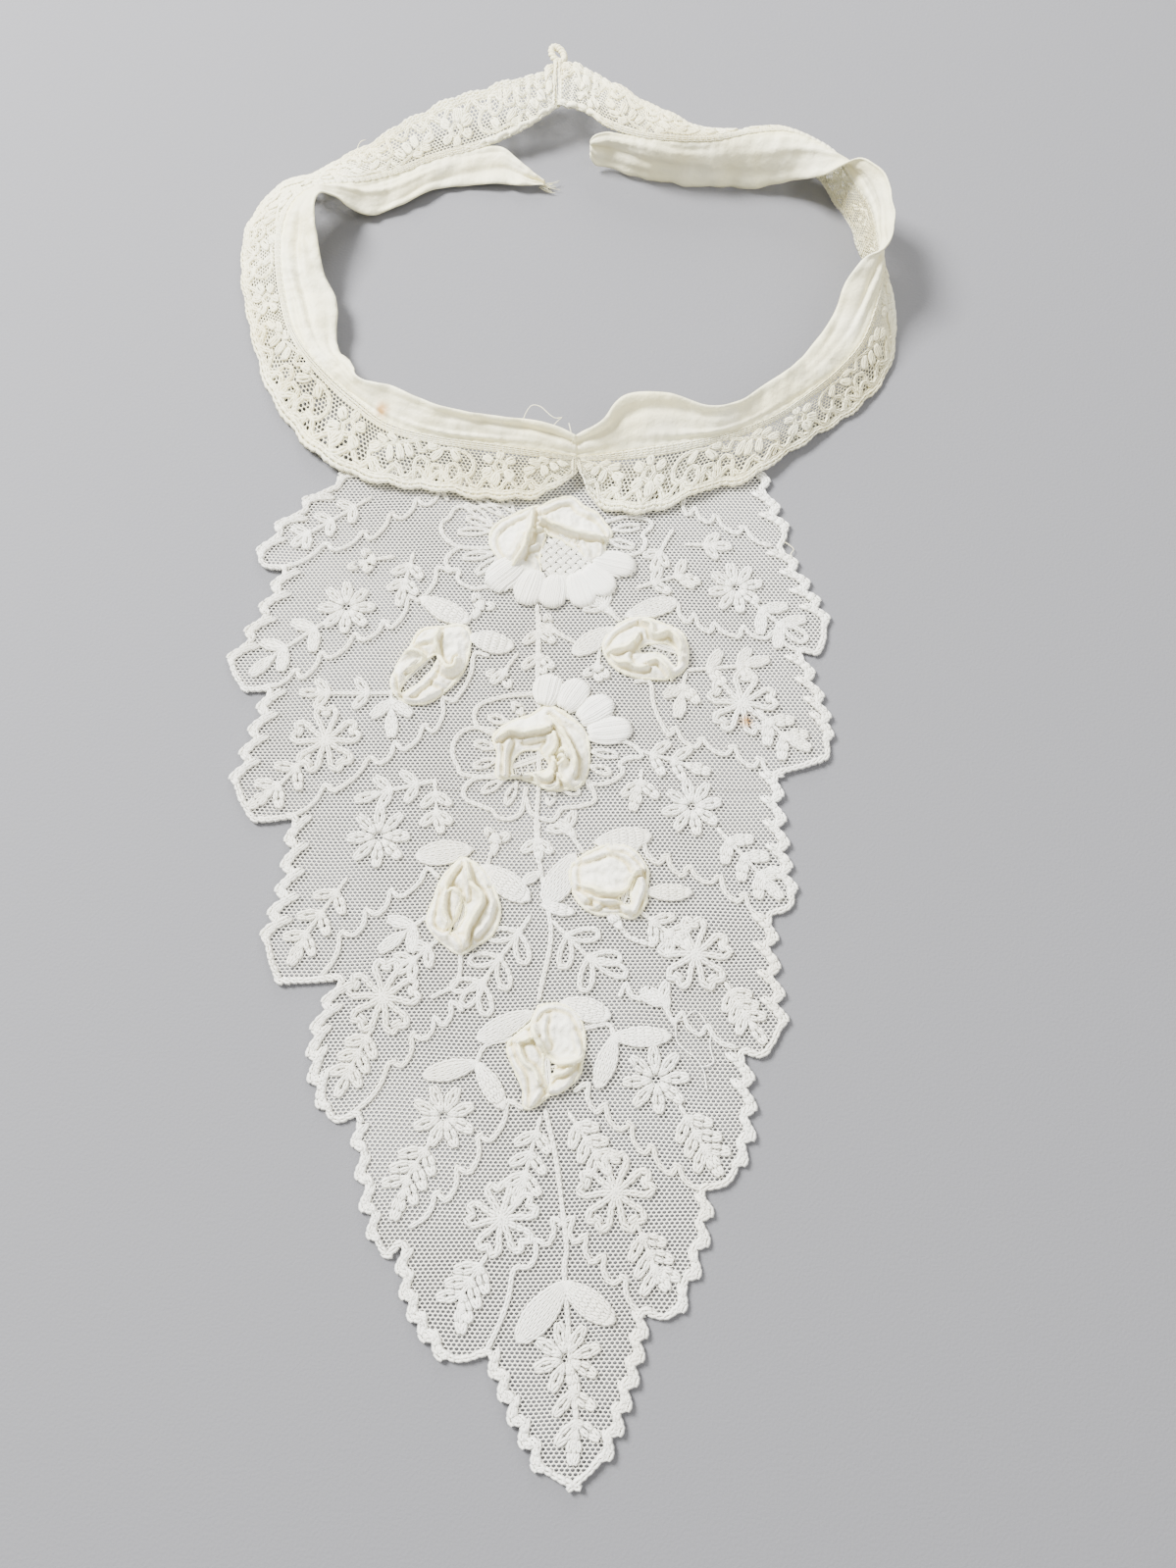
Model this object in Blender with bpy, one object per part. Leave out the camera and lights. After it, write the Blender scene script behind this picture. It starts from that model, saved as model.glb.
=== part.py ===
"""Lace dickey, laid out on a flat surface: a tapered bib of worked net, seven raised roses of gathered
muslin, and a neck strip of lace and soft silk that lies open as a ring with a small loop at the back.

Tables and sizes are in millimetres, and metres() turns them into Blender's units.
+X is the wearer's left as it lies, +Y runs from the bib's point to the neck, +Z is up.
The origin is under the centre front of the neck seam, on the surface that the bib lies on.
"""

import math
from collections import namedtuple

import bmesh
import bpy
import numpy as np
from mathutils import Vector
from mathutils.geometry import delaunay_2d_cdt

MILLIMETRE = 0.001
WALL = 1.0
SEAM_GAP = 0.3
NET_TOP = WALL

# The bib's edge, down each side from the collar. A lobe runs over its shoulder to its tip, round its
# heel and in to its notch, and its long edge has this many teeth.
Lobe = namedtuple("Lobe", "shoulder_x shoulder_y tip_x tip_y heel_x heel_y notch_x notch_y teeth")
TOP_LEFT = (-50.0, 3.0)
TOP_RIGHT = (46.0, 3.0)
LEFT_LOBES = (
    Lobe(-67.5, -11.0, -77.3, -25.0, -75.8, -28.2, -71.0, -28.5, 4),
    Lobe(-75.3, -39.5, -81.8, -52.8, -78.0, -59.8, -71.9, -59.5, 4),
    Lobe(-75.3, -70.5, -78.7, -82.5, -73.4, -91.8, -64.3, -90.8, 4),
    Lobe(-65.2, -106.0, -68.8, -118.5, -65.1, -128.4, -51.5, -127.6, 5),
    Lobe(-56.4, -142.0, -52.6, -155.0, -50.0, -158.3, -45.8, -156.8, 5),
    Lobe(-44.4, -170.0, -41.0, -181.5, -38.2, -185.2, -35.2, -182.8, 4),
    Lobe(-32.6, -195.0, -25.5, -203.6, -23.2, -204.6, -17.0, -203.0, 5),
    Lobe(-12.0, -213.5, -6.0, -224.3, 0.8, -227.6, 0.8, -227.6, 5),
)
RIGHT_LOBES = (
    Lobe(49.6, -9.5, 52.5, -17.5, 52.2, -20.0, 51.0, -22.2, 3),
    Lobe(56.8, -33.0, 61.2, -42.5, 59.3, -50.8, 54.9, -50.2, 4),
    Lobe(58.6, -62.5, 59.7, -72.0, 59.2, -77.2, 47.4, -80.6, 4),
    Lobe(48.2, -95.0, 50.0, -108.0, 49.3, -111.6, 44.6, -113.1, 5),
    Lobe(45.0, -126.0, 46.6, -137.5, 42.2, -144.4, 37.4, -143.2, 4),
    Lobe(38.6, -156.0, 35.4, -166.5, 33.2, -170.5, 28.0, -171.8, 4),
    Lobe(27.3, -183.0, 22.0, -195.6, 19.6, -197.0, 15.4, -195.8, 4),
    Lobe(12.4, -209.0, 6.6, -222.3, 0.8, -227.6, 0.8, -227.6, 6),
)
TOOTH_RISE = 1.4
TOOTH_SHAPE = ((0.0, -0.7), (0.45, 0.05), (0.8, 0.3))
HEEL_BULGE = 0.6
NOTCH_SAG = 0.4

# The thick corded edge, and the corded lines and padded stitching that stand up from the net
CORD_WIDTH = 1.9
CORD_RISE = 0.9
CORD_CREST = 0.45
LINE_HALF_WIDTH = 0.65
LINE_RISE = 0.7
LEAF_RISE = 0.7
PETAL_RISE = 0.8
ROSE_MARGIN = 1.0
COLLAR_MARGIN = 2.2
SURROUND_STEPS = 24
LEAST_STEP = 0.3
HAIR = 0.05

# Lines of hooked cord from the lobes' notches in to the middle: both ends, and how far the line bows
Vein = namedtuple("Vein", "x y end_x end_y bow hooks")
VEINS = (
    Vein(-71.0, -27.5, -31.5, -8.5, -1.5, 6),
    Vein(-72.0, -58.3, -31.0, -28.7, -3.0, 6),
    Vein(-64.1, -89.9, -20.7, -50.3, -4.0, 7),
    Vein(-54.0, -125.8, -30.8, -104.1, -1.0, 4),
    Vein(-45.9, -155.6, -24.4, -133.6, 1.0, 4),
    Vein(-33.0, -179.5, -11.3, -154.2, 0.0, 5),
    Vein(-17.3, -202.4, -1.9, -177.8, -1.5, 5),
    Vein(48.5, -21.5, 25.4, -9.6, 2.0, 4),
    Vein(54.5, -49.8, 22.6, -38.0, -1.5, 5),
    Vein(47.4, -80.3, 16.8, -58.5, 4.0, 5),
    Vein(43.8, -112.8, 14.4, -98.4, 1.5, 5),
    Vein(36.8, -142.8, 10.6, -130.6, 1.5, 4),
    Vein(27.5, -171.5, 1.8, -151.1, 0.0, 5),
    Vein(14.8, -195.4, -1.9, -177.8, 1.5, 4),
)
HOOK = 1.3

# The middle stem, down the bib
STEM = (
    (-8.7, -38.1), (-8.0, -94.3), (-5.4, -110.9), (-4.9, -118.0), (-7.1, -131.0), (-5.4, -156.2),
    (-1.9, -176.1), (-0.8, -190.0), (0.6, -205.0), (0.9, -222.0),
)

# Daisies have straight petals and blossoms have heart-shaped ones
Flower = namedtuple("Flower", "x y radius petals petal_width turn")
DAISY, BLOSSOM = 0.40, 0.66
FLOWERS = (
    Flower(-54.9, -38.3, 6.6, 8, DAISY, 0),
    Flower(39.2, -33.0, 6.4, 8, DAISY, 10),
    Flower(-44.2, -95.2, 7.0, 8, DAISY, 0),
    Flower(27.3, -88.2, 6.6, 8, DAISY, 12),
    Flower(-27.2, -156.6, 6.6, 8, DAISY, 20),
    Flower(18.4, -149.0, 7.0, 8, DAISY, 5),
    Flower(-0.6, -203.7, 6.8, 8, DAISY, 15),
    Flower(-57.7, -71.9, 7.8, 5, BLOSSOM, 90),
    Flower(40.0, -62.8, 7.6, 5, BLOSSOM, 80),
    Flower(-41.7, -131.6, 7.8, 5, BLOSSOM, 85),
    Flower(27.2, -121.9, 7.6, 5, BLOSSOM, 90),
    Flower(-14.4, -177.2, 7.2, 5, BLOSSOM, 100),
    Flower(9.3, -172.2, 7.7, 5, BLOSSOM, 90),
)

# Leafy sprigs: where the stem starts, the last leaf's tip, pairs of side leaves and a leaf's length
Sprig = namedtuple("Sprig", "x y tip_x tip_y pairs leaf")
SPRIGS = (
    Sprig(-51.1, -9.0, -68.6, -21.9, 3, 4.5),
    Sprig(-58.1, -43.0, -75.5, -55.2, 2, 6.0),
    Sprig(-62.0, -77.5, -73.8, -87.6, 2, 5.4),
    Sprig(-50.8, -104.0, -62.5, -123.4, 3, 5.4),
    Sprig(-43.7, -139.0, -50.0, -152.6, 3, 5.0),
    Sprig(-30.0, -162.4, -37.3, -178.0, 3, 5.6),
    Sprig(-17.8, -184.0, -22.6, -198.8, 3, 5.4),
    Sprig(0.0, -208.5, 0.7, -222.6, 2, 5.2),
    Sprig(43.5, -37.5, 56.4, -47.0, 2, 6.0),
    Sprig(45.0, -66.5, 55.6, -74.6, 2, 5.6),
    Sprig(33.5, -93.0, 46.4, -108.6, 3, 5.8),
    Sprig(33.6, -128.2, 42.3, -141.0, 3, 4.9),
    Sprig(23.6, -155.4, 31.6, -168.4, 3, 5.4),
    Sprig(13.6, -178.9, 20.1, -191.9, 3, 5.4),
    Sprig(-43.8, -23.6, -54.5, -27.6, 1, 4.4),
    Sprig(-39.0, -24.6, -42.3, -37.8, 2, 4.4),
    Sprig(-26.0, -42.5, -22.2, -36.5, 1, 3.9),
    Sprig(-44.0, -60.5, -64.0, -60.0, 3, 4.6),
    Sprig(-42.7, -61.5, -42.2, -71.6, 1, 6.0),
    Sprig(-13.0, -50.0, -19.4, -57.6, 1, 4.6),
    Sprig(-33.2, -82.3, -49.9, -86.6, 2, 5.4),
    Sprig(-32.0, -82.8, -29.9, -94.6, 2, 4.8),
    Sprig(-18.8, -101.3, -17.3, -93.6, 1, 3.9),
    Sprig(-32.0, -113.8, -42.6, -121.3, 1, 6.2),
    Sprig(-30.2, -118.4, -38.8, -126.4, 2, 4.6),
    Sprig(-10.1, -113.6, -24.4, -133.6, 3, 7.4),
    Sprig(-3.6, -114.6, 11.8, -127.2, 2, 8.0),
    Sprig(-7.6, -92.0, -7.5, -100.4, 1, 4.8),
    Sprig(2.6, -98.6, -3.2, -91.0, 1, 4.8),
    Sprig(15.7, -79.6, 13.7, -89.2, 1, 5.6),
    Sprig(14.6, -74.6, 31.5, -80.0, 2, 5.8),
    Sprig(24.3, -17.6, 19.5, -28.8, 1, 4.6),
    Sprig(28.2, -21.7, 38.6, -22.0, 1, 4.6),
    Sprig(16.2, -33.0, 29.9, -31.4, 2, 4.6),
    Sprig(10.3, -41.4, 4.6, -35.8, 1, 5.2),
    Sprig(1.1, -47.7, -5.0, -43.6, 1, 4.2),
    Sprig(-8.3, -44.0, -7.8, -55.2, 2, 4.4),
    Sprig(28.0, -54.6, 46.9, -51.8, 2, 5.8),
    Sprig(26.9, -55.9, 24.8, -66.4, 1, 5.8),
    Sprig(6.4, -49.2, 6.4, -57.6, 1, 4.0),
    Sprig(15.6, -112.2, 25.0, -119.4, 2, 5.4),
    Sprig(22.2, -137.2, 17.0, -129.6, 1, 4.4),
    Sprig(-7.2, -159.2, -11.9, -172.4, 3, 4.3),
    Sprig(0.0, -157.0, 7.4, -167.4, 3, 4.6),
)
PAIR_SPREAD = math.radians(52)
LEAF_WIDTH = 0.34
SIDE_LEAF = 0.92
STEM_START = 0.7
PETAL_START = 0.16

# Padded satin leaves and petals: base, tip and width
Leaf = namedtuple("Leaf", "x y tip_x tip_y width")
SATIN_LEAVES = (
    Leaf(-36.5, -36.4, -25.6, -42.0, 5.0), Leaf(-24.1, -46.0, -14.6, -48.3, 5.0),
    Leaf(13.0, -40.6, 24.4, -37.0, 4.6), Leaf(9.2, -44.2, 0.6, -50.0, 4.8),
    Leaf(-23.0, -98.4, -34.6, -99.8, 5.4), Leaf(-19.6, -102.4, -10.0, -109.3, 5.6),
    Leaf(6.0, -96.4, 17.2, -95.2, 5.0), Leaf(0.6, -99.6, -5.6, -110.2, 6.0),
    Leaf(-9.0, -134.9, -19.6, -139.9, 4.8), Leaf(-1.6, -132.8, 7.8, -135.6, 4.8),
    Leaf(-20.7, -145.3, -31.0, -148.0, 4.0), Leaf(-20.1, -145.6, -14.8, -154.2, 4.0),
    Leaf(9.2, -140.4, 20.8, -139.7, 4.0), Leaf(9.2, -140.6, 6.1, -150.4, 4.2),
    Leaf(-1.3, -189.8, -10.2, -200.2, 5.6), Leaf(-0.9, -189.8, 8.7, -196.8, 5.2),
    Leaf(17.6, -108.2, 26.4, -108.2, 3.8),
    Leaf(-12.4, -25.6, -20.8, -33.2, 8.0), Leaf(-9.2, -28.4, -12.0, -37.6, 7.4),
    Leaf(-4.4, -29.6, -5.4, -38.6, 6.8), Leaf(0.0, -29.2, 3.0, -38.4, 7.0),
    Leaf(2.6, -28.0, 9.4, -34.8, 7.0), Leaf(4.8, -25.8, 15.4, -28.2, 6.6),
    Leaf(-6.6, -63.6, -4.6, -55.8, 7.2), Leaf(-2.2, -64.8, 2.8, -57.6, 7.2),
    Leaf(1.6, -67.6, 9.6, -62.4, 6.6), Leaf(3.4, -70.6, 14.2, -69.2, 6.6),
)

# Raised roses: outer oval, the eye that shows the net, folds, height, and the arc that they fill
Rose = namedtuple(
    "Rose", "x y width length turn eye_x eye_y eye_width eye_length eye_turn folds rise first last"
)
ROSES = (
    Rose(-6.6, -19.8, 28.0, 18.4, 0, -2.8, -24.2, 9.4, 7.4, 0, 6, 4.0, -22, 208),
    Rose(-34.2, -52.4, 16.4, 22.6, -42, -37.2, -54.6, 2.6, 9.6, -42, 5, 3.6, 0, 360),
    Rose(18.0, -48.2, 19.8, 15.4, -12, 21.4, -48.2, 8.2, 2.8, -18, 5, 3.6, 0, 360),
    Rose(-7.1, -73.6, 22.0, 20.4, 0, -10.4, -77.0, 7.4, 4.2, 18, 7, 5.0, 0, 360),
    Rose(-24.4, -110.8, 15.4, 22.4, 6, -24.8, -114.6, 1.8, 7.4, -14, 5, 4.0, 0, 360),
    Rose(8.6, -105.0, 18.4, 17.4, 20, 12.0, -107.0, 2.8, 5.4, -20, 6, 4.0, 0, 360),
    Rose(-5.4, -143.4, 15.4, 23.0, 4, -4.2, -147.2, 2.0, 7.6, 6, 5, 4.2, 0, 360),
)

ROSE_STATIONS = 28
ROSE_SHARES = (0.0, 0.25, 0.5, 0.75, 1.0)
ROSE_EDGE = 0.9
RIM_LUMPS = 0.035
CROWN_START = 0.12
FOLD_DEPTH = 0.28
FOLD_TWIST = 2.2 * math.pi

# The neck strip, a row for each section from the centre front round to the back: the lace's scalloped
# edge, the seam between lace and silk, and the silk's free edge
Section = namedtuple("Section", "lace_x lace_y lace_z seam_x seam_y seam_z silk_x silk_y silk_z")
LEFT_STRIP = (
    Section(0.8, -2.5, 2.2, 0.4, 0.5, 4.0, -0.5, 6.0, 7.0),
    Section(-9.5, -8.5, 2.0, -9.5, 2.0, 5.0, -9.5, 8.0, 9.0),
    Section(-21.0, -9.0, 2.0, -21.0, 3.5, 5.5, -21.0, 9.5, 10.0),
    Section(-35.5, -6.5, 2.0, -34.0, 5.5, 5.5, -32.5, 11.5, 10.0),
    Section(-49.0, -4.5, 2.0, -46.0, 9.5, 5.0, -43.5, 16.0, 10.0),
    Section(-62.5, 2.0, 2.1, -54.5, 16.5, 4.5, -51.0, 20.0, 9.0),
    Section(-71.0, 11.5, 1.1, -61.0, 22.5, 5.0, -55.0, 24.0, 7.0),
    Section(-78.0, 23.0, 0.6, -67.0, 29.0, 6.0, -59.5, 29.0, 5.0),
    Section(-82.0, 35.0, 0.6, -71.5, 36.5, 6.0, -60.5, 36.0, 4.0),
    Section(-85.0, 46.0, 0.6, -74.0, 45.0, 6.0, -61.5, 45.0, 4.0),
    Section(-87.0, 56.0, 0.6, -75.5, 54.0, 7.0, -65.0, 53.0, 6.0),
    Section(-87.5, 67.5, 0.6, -76.0, 63.5, 8.0, -66.5, 61.5, 9.0),
    Section(-85.0, 77.0, 0.6, -74.0, 71.5, 9.0, -66.5, 67.5, 11.5),
    Section(-79.0, 85.0, 0.8, -69.5, 77.5, 8.5, -64.5, 72.5, 10.5),
    Section(-70.0, 88.6, 1.5, -63.5, 80.5, 7.0, -60.5, 75.5, 4.5),
    Section(-61.5, 92.2, 3.0, -56.0, 83.0, 5.0, -54.0, 76.0, 1.0),
    Section(-51.5, 98.5, 4.0, -47.5, 86.5, 4.0, -47.5, 78.0, 0.8),
    Section(-41.5, 105.0, 5.0, -38.0, 91.0, 4.0, -38.5, 84.0, 1.0),
    Section(-31.0, 109.5, 6.0, -28.5, 94.0, 4.0, -28.5, 86.0, 0.8),
    Section(-20.5, 112.5, 7.0, -19.5, 97.0, 5.0, -18.8, 86.5, 0.8),
    Section(-11.5, 114.5, 8.0, -11.5, 100.5, 6.5, -9.0, 90.0, 0.8),
    Section(-5.0, 117.0, 9.0, -5.0, 104.5, 8.0, -5.0, 94.0, 0.8),
)
RIGHT_STRIP = (
    Section(1.6, -2.6, 2.2, 1.6, 0.5, 4.0, 1.6, 5.5, 7.0),
    Section(5.5, -10.0, 2.0, 8.5, 1.0, 5.0, 6.5, 7.0, 10.0),
    Section(13.5, -13.0, 2.0, 17.0, 2.0, 5.5, 12.5, 13.5, 12.0),
    Section(22.5, -11.5, 2.0, 25.5, 3.5, 5.5, 23.5, 14.0, 12.0),
    Section(33.0, -6.5, 2.0, 34.0, 5.0, 6.0, 33.0, 11.0, 11.0),
    Section(43.0, -4.0, 2.0, 42.0, 7.5, 6.0, 41.0, 13.0, 9.5),
    Section(53.0, 3.2, 2.0, 50.5, 11.5, 6.0, 48.0, 18.0, 9.0),
    Section(63.5, 10.8, 0.8, 59.0, 17.8, 6.0, 55.0, 24.5, 8.0),
    Section(72.6, 17.8, 0.6, 67.0, 25.0, 6.0, 61.0, 30.5, 8.0),
    Section(80.0, 27.5, 0.6, 73.0, 32.5, 7.0, 65.0, 38.0, 9.0),
    Section(83.0, 41.0, 0.6, 76.5, 41.5, 9.5, 68.5, 45.5, 11.0),
    Section(82.0, 53.5, 1.0, 78.0, 49.5, 12.0, 72.0, 49.5, 15.0),
    Section(76.0, 62.5, 0.6, 78.0, 58.5, 11.0, 78.5, 55.0, 17.5),
    Section(74.0, 72.0, 0.6, 77.0, 69.0, 10.5, 79.0, 67.0, 18.0),
    Section(70.0, 80.0, 0.6, 73.0, 78.5, 10.5, 74.5, 77.5, 17.5),
    Section(66.0, 88.0, 0.6, 67.2, 85.6, 12.5, 65.0, 80.5, 10.0),
    Section(57.5, 95.0, 0.8, 57.0, 91.2, 13.0, 56.5, 84.5, 3.5),
    Section(47.5, 96.6, 2.5, 47.0, 91.4, 12.5, 46.5, 86.0, 1.0),
    Section(37.0, 97.6, 6.0, 36.5, 89.5, 12.0, 36.0, 86.2, 0.8),
    Section(27.5, 99.6, 8.5, 27.0, 89.5, 12.0, 27.0, 87.8, 0.8),
    Section(18.0, 104.0, 10.0, 17.0, 92.0, 11.0, 17.5, 89.6, 0.8),
    Section(9.5, 110.0, 10.0, 8.5, 96.0, 10.5, 9.0, 90.5, 1.0),
    Section(3.0, 114.5, 10.0, 3.0, 101.5, 9.5, 3.0, 95.0, 2.0),
    Section(-4.3, 117.5, 9.5, -4.2, 105.0, 8.5, -4.0, 97.0, 2.0),
)
SILK_ROWS_LEFT = 19
SILK_ROWS_RIGHT = 21

# The silk's loose ends run on past the lace's seam: both long edges, from the strip outwards
SilkEnd = namedtuple("SilkEnd", "seam_x seam_y seam_z silk_x silk_y silk_z")
LEFT_TAIL = (
    SilkEnd(-20.4, 95.0, 4.8, -19.0, 86.2, 0.8),
    SilkEnd(-14.5, 91.0, 3.6, -14.5, 85.2, 0.8),
    SilkEnd(-8.0, 86.4, 1.4, -8.2, 84.6, 0.8),
)
RIGHT_TAIL = (
    SilkEnd(9.2, 94.4, 10.2, 9.4, 91.6, 1.0),
    SilkEnd(4.4, 94.0, 8.0, 5.2, 92.0, 1.2),
)

LACE_STATIONS = 84
LACE_CELLS = 4
SILK_STATIONS = 56
SILK_CELLS = 3
SEAM_PULL = 0.38
LOWEST_MIDDLE = 0.55 * WALL
SCALLOP_PITCH = 7.5
SCALLOP_RISE = 0.8
FULLNESS = 0.35
FULLNESS_PITCH = 14.0
Crease = namedtuple("Crease", "pitch rise phase")
CREASES = (Crease(31.0, 0.45, 0.0), Crease(17.0, 0.3, 1.7), Crease(9.0, 0.15, 3.4))

LOOP_CENTRE = (-4.6, 121.0, 9.4)
LOOP_HALF_WIDTH = 2.3
LOOP_HALF_LENGTH = 2.5
LOOP_THICKNESS = 1.7
LOOP_STATIONS = 14
LOOP_SIDES = 8

LACE_WHITE = (0.82, 0.80, 0.73)
MUSLIN_IVORY = (0.86, 0.83, 0.75)
SILK_IVORY = (0.84, 0.82, 0.77)
LACE_CREAM = (0.80, 0.76, 0.65)


def clear_scene():
    for obj in list(bpy.data.objects):
        bpy.data.objects.remove(obj, do_unlink=True)


def metres(point):
    return Vector(point) * MILLIMETRE


def cloth(name, colour, roughness):
    """A plain cloth material of one colour."""
    material = bpy.data.materials.new(name)
    material.use_nodes = True
    shader = material.node_tree.nodes["Principled BSDF"]
    shader.inputs["Base Color"].default_value = (*colour, 1.0)
    shader.inputs["Roughness"].default_value = roughness
    shader.inputs["Metallic"].default_value = 0.0
    return material


def make_object(name, points, faces, material):
    """One closed object from points in millimetres and faces that point outwards."""
    mesh = bpy.data.meshes.new(name)
    mesh.from_pydata([metres(point) for point in points], [], faces)
    mesh.materials.append(material)
    mesh.shade_smooth()
    mesh.set_sharp_from_angle(angle=math.radians(50))
    obj = bpy.data.objects.new(name, mesh)
    bpy.context.scene.collection.objects.link(obj)
    return obj


# The bib


def toothed_edge(start, lobe, side):
    """Points down one lobe's long edge, each tooth rising slowly and stepping back sharply."""
    start, shoulder, tip = (np.array(p) for p in (start, lobe[0:2], lobe[2:4]))
    control = 2 * shoulder - (start + tip) / 2
    points = []
    for tooth in range(lobe.teeth):
        for share, rise in TOOTH_SHAPE:
            t = (tooth + share) / lobe.teeth
            on_edge = (1 - t) ** 2 * start + 2 * t * (1 - t) * control + t * t * tip
            along = (1 - t) * (control - start) + t * (tip - control)
            along /= np.linalg.norm(along)
            outward = side * np.array((-along[1], along[0]))
            points.append(on_edge + TOOTH_RISE * rise * outward)
    return [start] + points[1:]


def side_outline(corner, lobes, side):
    """One side of the bib, from its top corner down to its point."""
    points = []
    start = corner
    for lobe in lobes:
        points += toothed_edge(start, lobe, side)
        tip, heel, notch = (np.array(p) for p in (lobe[2:4], lobe[4:6], lobe[6:8]))
        points += [tip, (tip + heel) / 2 + side * np.array((HEEL_BULGE, 0.0)), heel]
        if lobe is not lobes[-1]:
            points += [(heel + notch) / 2 + np.array((0.0, -NOTCH_SAG)), notch]
        start = notch
    return points


def bib_outline():
    left = side_outline(TOP_LEFT, LEFT_LOBES, -1)
    right = side_outline(TOP_RIGHT, RIGHT_LOBES, 1)
    return np.array(left + right[-2::-1])


def nearest_on(points, start, end):
    """Distance from each point to one straight run."""
    run = end - start
    share = np.clip(((points - start) @ run) / max(run @ run, 1e-9), 0, 1)
    return np.linalg.norm(points - start - share[:, None] * run, axis=1)


def distance_to_line(points, line, closed=False):
    ends = np.roll(line, -1, axis=0) if closed else line[1:]
    return np.min([nearest_on(points, a, b) for a, b in zip(line, ends)], axis=0)


def hooked_line(vein):
    """A vein: a bowed line that steps sideways in small hooks."""
    start, end = np.array((vein.x, vein.y)), np.array((vein.end_x, vein.end_y))
    run = end - start
    across = np.array((-run[1], run[0])) / np.linalg.norm(run)
    points = []
    for step in range(2 * vein.hooks + 1):
        t = step / (2 * vein.hooks)
        sway = vein.bow * 4 * t * (1 - t) + (HOOK if step % 2 else 0.0) / 2
        points.append(start + run * t + across * sway)
    return np.array(points)


def sprig_leaves(sprig):
    """The leaves of one sprig: pairs set along its stem and one at its tip."""
    start, tip = np.array((sprig.x, sprig.y)), np.array((sprig.tip_x, sprig.tip_y))
    stem = tip - start
    length = np.linalg.norm(stem)
    heading = math.atan2(stem[1], stem[0])
    width = LEAF_WIDTH * sprig.leaf
    leaves = [Leaf(*(tip - stem / length * sprig.leaf), *tip, width)]
    for pair in range(sprig.pairs):
        root = start + stem * (1 - sprig.leaf * 1.15 / length) * (pair + STEM_START) / sprig.pairs
        for side in (-1, 1):
            angle = heading + side * PAIR_SPREAD
            end = root + SIDE_LEAF * sprig.leaf * np.array((math.cos(angle), math.sin(angle)))
            leaves.append(Leaf(*root, *end, width))
    return leaves


def flower_petals(flower):
    petals = []
    for index in range(flower.petals):
        angle = math.radians(flower.turn) + 2 * math.pi * index / flower.petals
        outward = np.array((math.cos(angle), math.sin(angle)))
        centre = np.array((flower.x, flower.y))
        root, tip = centre + PETAL_START * flower.radius * outward, centre + flower.radius * outward
        petals.append(Leaf(*root, *tip, flower.petal_width * flower.radius))
    return petals


def leaf_half_width(leaf, share):
    """Half the width of a leaf at this share of its length."""
    return 0.5 * leaf.width * np.sin(math.pi * np.clip(share, 0, 1) ** 0.8)


def leaf_frame(leaf):
    base, tip = np.array((leaf.x, leaf.y)), np.array((leaf.tip_x, leaf.tip_y))
    length = np.linalg.norm(tip - base)
    along = (tip - base) / length
    return base, length, along, np.array((-along[1], along[0]))


def leaf_relief(leaf, rise, points):
    """How far a padded leaf lifts each point."""
    base, length, along, across = leaf_frame(leaf)
    share = (points - base) @ along / length
    half = np.maximum(leaf_half_width(leaf, share), 1e-6)
    off = np.abs((points - base) @ across) / half
    inside = (share > 0) & (share < 1) & (off < 1)
    ends = np.clip(5 * np.minimum(share, 1 - share), 0, 1)
    return np.where(inside, rise * np.sqrt(np.clip(1 - off**2, 0, 1)) * ends, 0.0)


def leaf_guides(leaf):
    """The outline and midrib of a leaf, as runs of points."""
    base, length, along, across = leaf_frame(leaf)

    def at(share, side):
        return base + along * length * share + across * side * leaf_half_width(leaf, share)

    rim = [at(0.0, 0), at(0.3, 1), at(0.7, 1), at(1.0, 0), at(0.7, -1), at(0.3, -1), at(0.0, 0)]
    return [np.array(rim), np.array([at(0.25, 0), at(0.75, 0)])]


def line_relief(line, half_width, rise, points):
    off = distance_to_line(points, line) / half_width
    return rise * np.sqrt(np.clip(1 - off**2, 0, 1))


def line_guides(line, half_width):
    """A corded line's crest and both its feet."""
    run = np.gradient(line, axis=0)
    run /= np.linalg.norm(run, axis=1)[:, None]
    across = np.stack((-run[:, 1], run[:, 0]), axis=1)
    return [line, line + half_width * across, line - half_width * across]


def stitched_work():
    """Every worked motif, as pairs of a relief function and its guides."""
    work = []
    lines = [hooked_line(vein) for vein in VEINS] + [np.array(STEM)]
    for line in lines:
        work.append((lambda p, l=line: line_relief(l, LINE_HALF_WIDTH, LINE_RISE, p), line_guides(line, 0.6)))
    leaves = [(leaf, LEAF_RISE) for sprig in SPRIGS for leaf in sprig_leaves(sprig)]
    leaves += [(petal, PETAL_RISE) for flower in FLOWERS for petal in flower_petals(flower)]
    leaves += [(leaf, PETAL_RISE) for leaf in SATIN_LEAVES]
    for leaf, rise in leaves:
        work.append((lambda p, l=leaf, r=rise: leaf_relief(l, r, p), leaf_guides(leaf)))
    return work


def oval_radius(width, length, turn, angle):
    """Distance from an oval's middle to its rim in this direction."""
    local = angle - math.radians(turn)
    return 1 / math.hypot(2 * math.cos(local) / width, 2 * math.sin(local) / length)


def rose_surround(rose):
    """A closed line round a rose, a little outside its rim."""
    line = []
    for step in range(SURROUND_STEPS + 1):
        angle = 2 * math.pi * step / SURROUND_STEPS
        radius = oval_radius(rose.width, rose.length, rose.turn, angle) + ROSE_MARGIN
        line.append((rose.x + radius * math.cos(angle), rose.y + radius * math.sin(angle)))
    return np.array(line)


def collar_shadow():
    """The line on the bib that the collar's lace comes down to, with a margin."""
    edge = [(row.lace_x, row.lace_y - COLLAR_MARGIN) for row in LEFT_STRIP[6::-1] + RIGHT_STRIP[:8]]
    return np.array(sorted(edge))


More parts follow.
